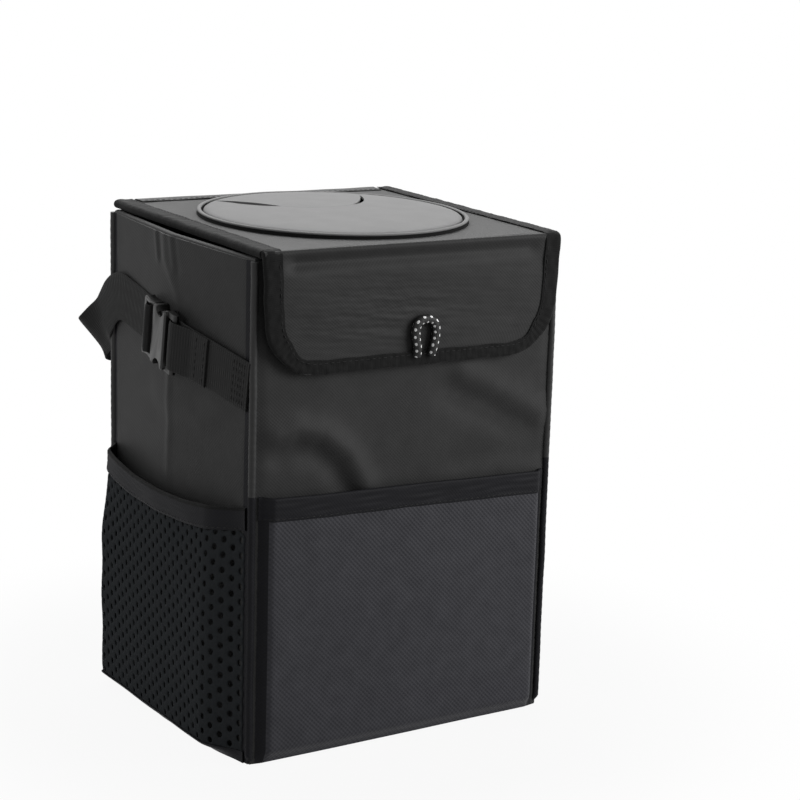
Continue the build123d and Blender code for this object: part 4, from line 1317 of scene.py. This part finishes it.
def slit_cutter():
    """An upright blade along the tongue, as wide at each point as the slit stands open there."""
    x = np.linspace(-SLIT_HALF, SLIT_HALF, SLIT_STEPS)
    line = np.column_stack((x, SLIT_TIP + SLIT_CURVE * np.abs(x) ** SLIT_POWER))
    half = np.full(SLIT_STEPS, SLIT_SHUT)
    for middle, reach, width in SLIT_OPEN:
        half += width * np.maximum(0, 1 - ((x - middle) / reach) ** 2)
    way = unit(np.gradient(line, axis=0))
    side = np.column_stack((-way[:, 1], way[:, 0])) * half[:, None]
    ring = np.concatenate((line + side, (line - side)[::-1]))
    total = len(ring)
    points = np.concatenate([np.column_stack((ring, np.full(total, height))) for height in (-1.0, 9.0)])
    faces = [(i, (i + 1) % total, total + (i + 1) % total, total + i) for i in range(total)]
    for i in range(SLIT_STEPS - 1):
        faces.append((i + 1, i, total - 1 - i, total - 2 - i))
        faces.append((total + i, total + i + 1, 2 * total - 2 - i, 2 * total - 1 - i))
    blade = from_points("slit_blade", points, [], faces)
    with editing(blade):
        bpy.ops.mesh.normals_make_consistent(inside=False)
    return blade


# %% Drop disc, its welt and its skirt
disc = spun("disc_membrane", DISC_TOP + DISC_RIM + DISC_FOOT + DISC_UNDER, 128)
blade = slit_cutter()
apply_modifier(disc, "BOOLEAN", operation="DIFFERENCE", solver="EXACT", object=blade)
bpy.data.objects.remove(blade)
set_on_lid(disc)
finished(disc, disc_rubber, "disc_rubber", "lid", "drop_disc", angle=35)

bead_turn = np.linspace(0, 2 * math.pi, 13)
BEAD_RING, BEAD_HEIGHT = DISC_EDGE - BEAD - 0.1, 2.1
bead_section = [(BEAD_RING + BEAD * math.cos(a), BEAD_HEIGHT + 0.6 * BEAD * math.sin(a)) for a in bead_turn]
welt = spun("disc_welt_bead", bead_section, 160)
set_on_lid(welt)
finished(welt, disc_rubber, "disc_rubber", "lid", "disc_welt")
# The skirt is black rubber as painted shade under the bead; the bead's overhang shades it a little too.
SKIRT = [(67.2, 0.05), (DISC_EDGE, 0.05), (DISC_EDGE - 0.1, 0.7), (69.3, 1.6), (67.5, 1.6), (67.2, 0.05)]
skirt = spun("disc_shade_skirt", SKIRT, 160)
set_on_lid(skirt)
finished(skirt, skirt_shade_rubber, "disc_rubber", "lid", angle=35)

# %% [markdown]
# ## Strap
# The strap is 25 mm webbing. It runs from the front seam on the left, through the buckle and round the
# back, where it hangs slack, to the front seam on the right. Webbing bends flat and hardly stretches,
# so it is a ribbon of constant width swept along its route, with a little roundness at its edges.

# %% Webbing along a route
RIBBON_CELLS = 20


def ribbon(name, route, width_way, waver=0.0):
    """Webbing along a route of points, its width laid along width_way at each point."""
    marks = distances(route)
    marks /= marks[-1]
    tangent = unit(np.gradient(route, axis=0))
    wide = unit(width_way - (width_way * tangent).sum(axis=1, keepdims=True) * tangent)
    face = np.cross(tangent, wide)

    def shape(u, v):
        angle = 2 * math.pi * v
        side = np.sign(np.cos(angle)) * np.abs(np.cos(angle)) ** 0.35 * STRAP_WIDTH / 2
        rise = np.sign(np.sin(angle)) * np.abs(np.sin(angle)) ** 0.6 * STRAP / 2
        rise = rise + waver * wander(u * 300, side, (60, 60), 80)
        centre, edge_on, face_on = (read_off(u, marks, rows) for rows in (route, wide, face))
        return [c + side * e + rise * f for c, e, f in zip(centre, edge_on, face_on)]

    return laid_out(name, shape, (len(route) - 1, RIBBON_CELLS), closed=True, capped=True)


# %% Long strap, round the back
SOCKET_MOUTH, PLUG_END, PLUG_TRAVEL = 7.0, 19.9, 17.0
SLACK_SAG, SLACK_DROP, SLACK_TILT, LEAN = 9.0, 31.0, math.radians(40), (0.8, 0.6)
STRAP_SEAM_Y = -HALF_DEPTH + 1.9
TUCK = -0.7
crease = np.array((-SIDE_OUT - 1.5, 0.0))
corner_point = np.array((-HALF_WIDTH - 2.5, HALF_DEPTH))
run = unit(corner_point - crease)
outward = np.array((-run[1], run[0]))
strap_start = crease + run * (SOCKET_MOUTH + STRAP_WIDTH * math.sin(STRAP_RISE)) + outward * TUCK
strap_clear = crease + run * (PLUG_END + PLUG_TRAVEL) + outward * TUCK
slack_point = np.array((corner_point[0] + 1.5, HALF_DEPTH + 31.0))
back_point = np.array((0, HALF_DEPTH + 25.0))
mirrored = np.array((-1, 1))
seam_left = np.array((-side_x(STRAP_SEAM_Y) - 1.5, STRAP_SEAM_Y))
plan_route = rounded_route(
    [
        strap_start,
        strap_clear,
        corner_point,
        slack_point,
        back_point,
        slack_point * mirrored,
        corner_point * mirrored,
        crease * mirrored,
        seam_left * mirrored,
    ],
    [34, 34, 11, 136, 11, 34, 34],
)
knee_y = HALF_DEPTH - 8.0
knee_z = STRAP_Z + knee_y * math.tan(STRAP_RISE)
SLACK_Z = knee_z - SLACK_DROP
side_route = rounded_route(
    [
        (-2 * HALF_DEPTH, STRAP_Z - 2 * HALF_DEPTH * math.tan(STRAP_RISE)),
        (knee_y, knee_z),
        (HALF_DEPTH + 23.0, SLACK_Z),
        (HALF_DEPTH + 68.0, SLACK_Z),
    ],
    [25, 25],
)
route_z = np.interp(plan_route[:, 1], side_route[:, 0], side_route[:, 1])
behind = ease((plan_route[:, 1] - HALF_DEPTH - 8) / 14)
across_back = np.clip(plan_route[:, 0] / slack_point[0], -1, 1)
long_route = np.column_stack((plan_route, route_z - SLACK_SAG * behind * (1 - across_back**2)))
tilt = SLACK_TILT * behind * ease((np.abs(plan_route[:, 0]) - 40) / 45)
lean_side = LEAN[0] * np.sign(plan_route[:, 0]) * np.sin(tilt)
leaning = np.column_stack((lean_side, LEAN[1] * np.sin(tilt), np.cos(tilt)))
long_webbing = ribbon("long_webbing", long_route, leaning, waver=0.2)
finished(long_webbing, webbing, "webbing", "shell", "long_strap", angle=60)

# %% Short strap and strap end
along = np.array((run[0] * math.cos(STRAP_RISE), run[1] * math.cos(STRAP_RISE), math.sin(STRAP_RISE)))
out3 = np.array((outward[0], outward[1], 0.0))
origin = np.array((crease[0], crease[1], STRAP_Z))
edge_way = np.cross(along, out3)


def on_strap(points, across=0.0):
    """From distances along and out from the strap at the crease to the bin's frame."""
    points = np.asarray(points, float)
    return origin + points[:, :1] * along + points[:, 1:] * out3 + np.reshape(across, (-1, 1)) * edge_way


BAR, BAR_RUN, WRAP, LAP = -13.0, 4.0, 2.6, 28.0
LAP_RISE = STRAP + 0.1
to_seam = seam_left - crease
seam_along = to_seam @ run / math.cos(STRAP_RISE)
seam_out = to_seam @ outward
slope = seam_out / (seam_along - BAR + BAR_RUN)


def strap_out(at):
    """How far out the short strap lies, at a distance along it."""
    return (at - BAR + BAR_RUN) * slope


wrap_turn = np.linspace(-math.pi / 2, math.pi / 2, 14)
short_flat = np.concatenate(
    (
        rounded_route([(seam_along, seam_out), (BAR - BAR_RUN, 0), (BAR, 0)], [12]),
        np.column_stack((BAR + WRAP * np.cos(wrap_turn), WRAP + WRAP * np.sin(wrap_turn)))[1:-1],
        rounded_route(
            [
                (BAR, 2 * WRAP),
                (BAR - WRAP, 2 * WRAP),
                (BAR - LAP / 2, strap_out(BAR - LAP / 2) + LAP_RISE),
                (BAR - LAP, strap_out(BAR - LAP) + LAP_RISE),
            ],
            [2.6, 2.6],
        ),
    )
)
short_route = on_strap(short_flat)
short_webbing = ribbon("short_webbing", short_route, np.tile(edge_way, (len(short_route), 1)))
finished(short_webbing, webbing, "webbing", "shell", "short_strap", angle=60)

PLUG_UNDER, PLUG_OVER, LEG_HALF = 0.2, 5.0, 2.0
LADDER = (SOCKET_MOUTH + PLUG_END) / 2
turn_over = np.linspace(math.pi, 0, 14)
end_flat = np.concatenate(
    (
        [(LADDER - LEG_HALF, PLUG_UNDER)],
        np.column_stack((LADDER + LEG_HALF * np.cos(turn_over), PLUG_OVER + LEG_HALF * np.sin(turn_over))),
        [(LADDER + LEG_HALF, PLUG_UNDER)],
    )
)
end_route = on_strap(end_flat)
end_webbing = ribbon("strap_end_webbing", end_route, np.tile(edge_way, (len(end_route), 1)))
finished(end_webbing, webbing, "webbing", "plug", "strap_end", angle=60)

# %% Stitches of the strap
TACK_ROWS, TACK_START, TACK_STEP, TACK_EDGE = 5, 3.4, 2.2, 1.5
ON_STRAP = STRAP / 2 + 0.1
tacks = []
across_strap = np.linspace(-STRAP_WIDTH / 2 + TACK_EDGE, STRAP_WIDTH / 2 - TACK_EDGE, 20)
at_seam = [(seam_along + TACK_START + row * TACK_STEP, 0.0) for row in range(TACK_ROWS)]
on_lap = [(BAR - LAP + at, LAP_RISE) for at in (2.0, 9.0)]
for at, rise in at_seam + on_lap:
    flat = np.tile((at, strap_out(at) + rise + ON_STRAP), (len(across_strap), 1))
    tacks.append((on_strap(flat, across_strap), out3))
sewn("strap_stitches", tacks, "webbing", "shell")

# %% [markdown]
# ## Buckle
# The side-release buckle is two acetal mouldings. Their solids have the right form but knife-sharp
# edges, and a moulding never has those. A copy of each solid is merged into one skin, and a bevel
# rounds its edges so that they catch light.

# %% Buckle mouldings
EDGE_ROUND = 0.4


def moulded(node, name, body):
    """A copy of a packed moulding with its edges rounded off."""
    piece = bpy.data.objects.new(name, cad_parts[node].data.copy())
    bpy.context.collection.objects.link(piece)
    piece.data.materials.clear()
    with editing(piece):
        bpy.ops.mesh.remove_doubles(threshold=MERGE * MM)
        bpy.ops.mesh.dissolve_limited(angle_limit=math.radians(1))
    sharp = {"limit_method": "ANGLE", "angle_limit": math.radians(40)}
    apply_modifier(piece, "BEVEL", width=EDGE_ROUND * MM, segments=2, use_clamp_overlap=True, **sharp)
    return finished(piece, acetal, "buckle_plastic", body, node, angle=35)


moulded("buckle_socket", "socket_moulding", "shell")
moulded("buckle_plug", "plug_moulding", "plug")

# %% [markdown]
# ## Pull loop
# The loop is a short piece of braided cord with white reflective flecks. Both ends are sewn under the
# flap's binding. Its route is a smooth spline that a few listed points guide, and the braid is a
# tube that follows the points read back from that spline.

# %% Route of the pull loop
PULL_CORD = 4.2
PULL_X, PULL_FOOT = 4.0, 200.9
PULL_HALF = [(4.2, -83.4, -1.5), (4.4, -84.6, 2.0), (5.6, -84.6, 6.5)]
PULL_HALF += [(6.1, -84.6, 11.0), (4.6, -84.6, 15.6)]
PULL_ROUTE = [(-x, y, z) for x, y, z in PULL_HALF] + [(0.0, -84.6, 17.0)] + PULL_HALF[::-1]
curve = bpy.data.curves.new("pull_route", "CURVE")
curve.dimensions = "3D"
curve.resolution_u = 12
spline = curve.splines.new("NURBS")
spline.points.add(len(PULL_ROUTE) - 1)
for point, (x, y, z) in zip(spline.points, PULL_ROUTE):
    point.co = ((PULL_X + x) * MM, y * MM, (PULL_FOOT + z) * MM, 1)
spline.order_u = 3
spline.use_endpoint_u = True
guide = bpy.data.objects.new("pull_route", curve)
bpy.context.collection.objects.link(guide)
bpy.context.view_layer.update()
line_mesh = bpy.data.meshes.new_from_object(guide.evaluated_get(bpy.context.evaluated_depsgraph_get()))
cord_path = np.array([tuple(v.co) for v in line_mesh.vertices]) / MM
bpy.data.objects.remove(guide)
bpy.data.meshes.remove(line_mesh)
print("route of", len(cord_path), "points read from the spline")

# %% Braided cord
STRANDS, STRAND_TURN, STRAND_RISE = 6, 2.2, 0.05
cord_marks = distances(cord_path)
CORD_LENGTH = cord_marks[-1]
cord_tangent = unit(np.gradient(cord_path, axis=0))
cord_side = unit(np.cross(cord_tangent, (0.0, -1.0, 0.0)))
cord_out = np.cross(cord_side, cord_tangent)


def cord_shape(u, v):
    """A tube round the cord's line, with strands that cross both ways round it."""
    angle = 2 * math.pi * u
    at = v * CORD_LENGTH
    braid = np.sin(STRANDS * angle + at * STRAND_TURN) * np.sin(STRANDS * angle - at * STRAND_TURN)
    radius = PULL_CORD / 2 * (1 + STRAND_RISE * braid)
    centre, side, out = (read_off(at, cord_marks, rows) for rows in (cord_path, cord_side, cord_out))
    wide, high = radius * np.cos(angle), radius * np.sin(angle)
    return [c + wide * s + high * o for c, s, o in zip(centre, side, out)]


# The braid is dull black polyester. Four rows of round white flecks run along it, each half a pitch on.
FLECK_ROWS, FLECK_PITCH, FLECK = 4, 3.4, 0.72
ROW_WIDTH = math.pi * PULL_CORD / FLECK_ROWS
braid, tree, shader = new_finish("braided reflective cord", {"Roughness": 0.6, "Specular IOR Level": 0.3})
braid_map = add(tree, "ShaderNodeTexCoord")
per_fleck = {0: braid_map.outputs["UV"], 1: (per_mm(ROW_WIDTH), per_mm(FLECK_PITCH), 0)}
cells = add(tree, "ShaderNodeVectorMath", per_fleck, operation="MULTIPLY")
axes = add(tree, "ShaderNodeSeparateXYZ", {0: cells.outputs[0]})
row = add(tree, "ShaderNodeMath", {0: axes.outputs[0]}, operation="FLOOR")
half_on = {0: row.outputs[0], 1: 0.5, 2: axes.outputs[1]}
shifted = add(tree, "ShaderNodeMath", half_on, operation="MULTIPLY_ADD")
joined = add(tree, "ShaderNodeCombineXYZ", {0: axes.outputs[0], 1: shifted.outputs[0]})
within = add(tree, "ShaderNodeVectorMath", {0: joined.outputs[0]}, operation="FRACTION")
middle = add(tree, "ShaderNodeVectorMath", {0: within.outputs[0], 1: (0.5, 0.5, 0)}, operation="SUBTRACT")
in_mm = {0: middle.outputs[0], 1: (ROW_WIDTH, FLECK_PITCH, 0)}
offset = add(tree, "ShaderNodeVectorMath", in_mm, operation="MULTIPLY")
reach = add(tree, "ShaderNodeVectorMath", {0: offset.outputs[0]}, operation="LENGTH")
fleck = add(tree, "ShaderNodeMath", {0: reach.outputs["Value"], 1: FLECK}, operation="LESS_THAN")
dyes = {0: fleck.outputs[0], 6: linear("#111111"), 7: linear("#E4E4E4")}
dye = add(tree, "ShaderNodeMix", dyes, data_type="RGBA")
tree.links.new(dye.outputs[2], shader.inputs["Base Color"])

pull = laid_out("pull_cord_loop", cord_shape, (36, 120), closed=True, capped=True)
finished(pull, braid, "pull_cord", "flap", "pull_loop")
print("pull cord", round(CORD_LENGTH, 1), "mm long")

# %% [markdown]
# ## Hook and loop patches
# The flap is held down by a strip of hooks on its back and a strip of loop pile on the front wall. Each
# is a low pillow with soft edges and a fuzzy face, sewn on with a box of stitches.

# %% Hook and loop patches
PATCH_EDGE, PATCH_SEAM, PATCH_SUNK = 1.4, 2.2, 0.45


def sewn_patch(name, node, body, sign):
    """A napped strip in place of a packed patch, its face looking along sign times Y."""
    low, high = (np.array(corner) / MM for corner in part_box(node))
    base, face = (low[1], high[1]) if sign > 0 else (high[1], low[1])
    half_x, half_z = (high[0] - low[0]) / 2, (high[2] - low[2]) / 2
    mid_x, mid_z = (high[0] + low[0]) / 2, (high[2] + low[2]) / 2

    def shape(u, v):
        x, z = sign * (1 - 2 * u) * half_x, (2 * v - 1) * half_z
        edge = np.minimum(half_x - np.abs(x), half_z - np.abs(z))
        crown = np.sqrt(np.maximum(0, 1 - (1 - np.clip(edge / PATCH_EDGE, 0, 1)) ** 2))
        nap = 0.12 * wander(x, z, (2.6, 2.6), 91) * (edge > PATCH_EDGE)
        sunk = 0.35 * np.exp(-(((edge - PATCH_SEAM) / 0.6) ** 2))
        return mid_x + x, base + (face - base) * crown + sign * (nap - sunk - 0.15), mid_z + z

    strip = laid_out(name, shape, (110, 34), (0, sign, 0), THIN_CLOTH)
    finished(strip, loop_pile, "hook_and_loop", body, node)
    corners = [(-1, -1), (1, -1), (1, 1), (-1, 1), (-1, -1)]
    seam_x, seam_y, seam_z = half_x - PATCH_SEAM, face - sign * PATCH_SUNK, half_z - PATCH_SEAM
    seam = [(mid_x + a * seam_x, seam_y, mid_z + b * seam_z) for a, b in corners]
    sewn(f"{name}_stitches", [(np.array(seam), (0, sign, 0))], "hook_and_loop", body)


sewn_patch("loop_strip", "front_loop_patch", "shell", -1)
sewn_patch("hook_strip", "flap_hook_patch", "flap", 1)

# %% [markdown]
# ## Boards
# The boards are plain sheet inside the walls and the lid, so they keep their solids and only get a
# finish.

# %% Finish of the boards
BOARDS = [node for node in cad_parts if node.endswith("_board")]
for node in BOARDS:
    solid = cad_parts[node]
    solid.data.materials.clear()
    solid.data.materials.append(board_sheet)
print(len(BOARDS), "boards keep their solids")

# %% [markdown]
# ## Cloth as it was cut
# Each panel of cloth is declared with the flat size that it was cut to, which the grid measured when it
# was laid out. The lid's cloth and lining have a round hole and the nets are full of holes, so they
# also give the area that is left of the rectangle.

# %% Flat sizes of the cloth
for piece, depth in ((lid_cloth, LID_REAR - BEND_START), (lid_under, LID_REAR - LID_FRONT)):
    flat = (2 * LID_HALF * MM, depth * MM)
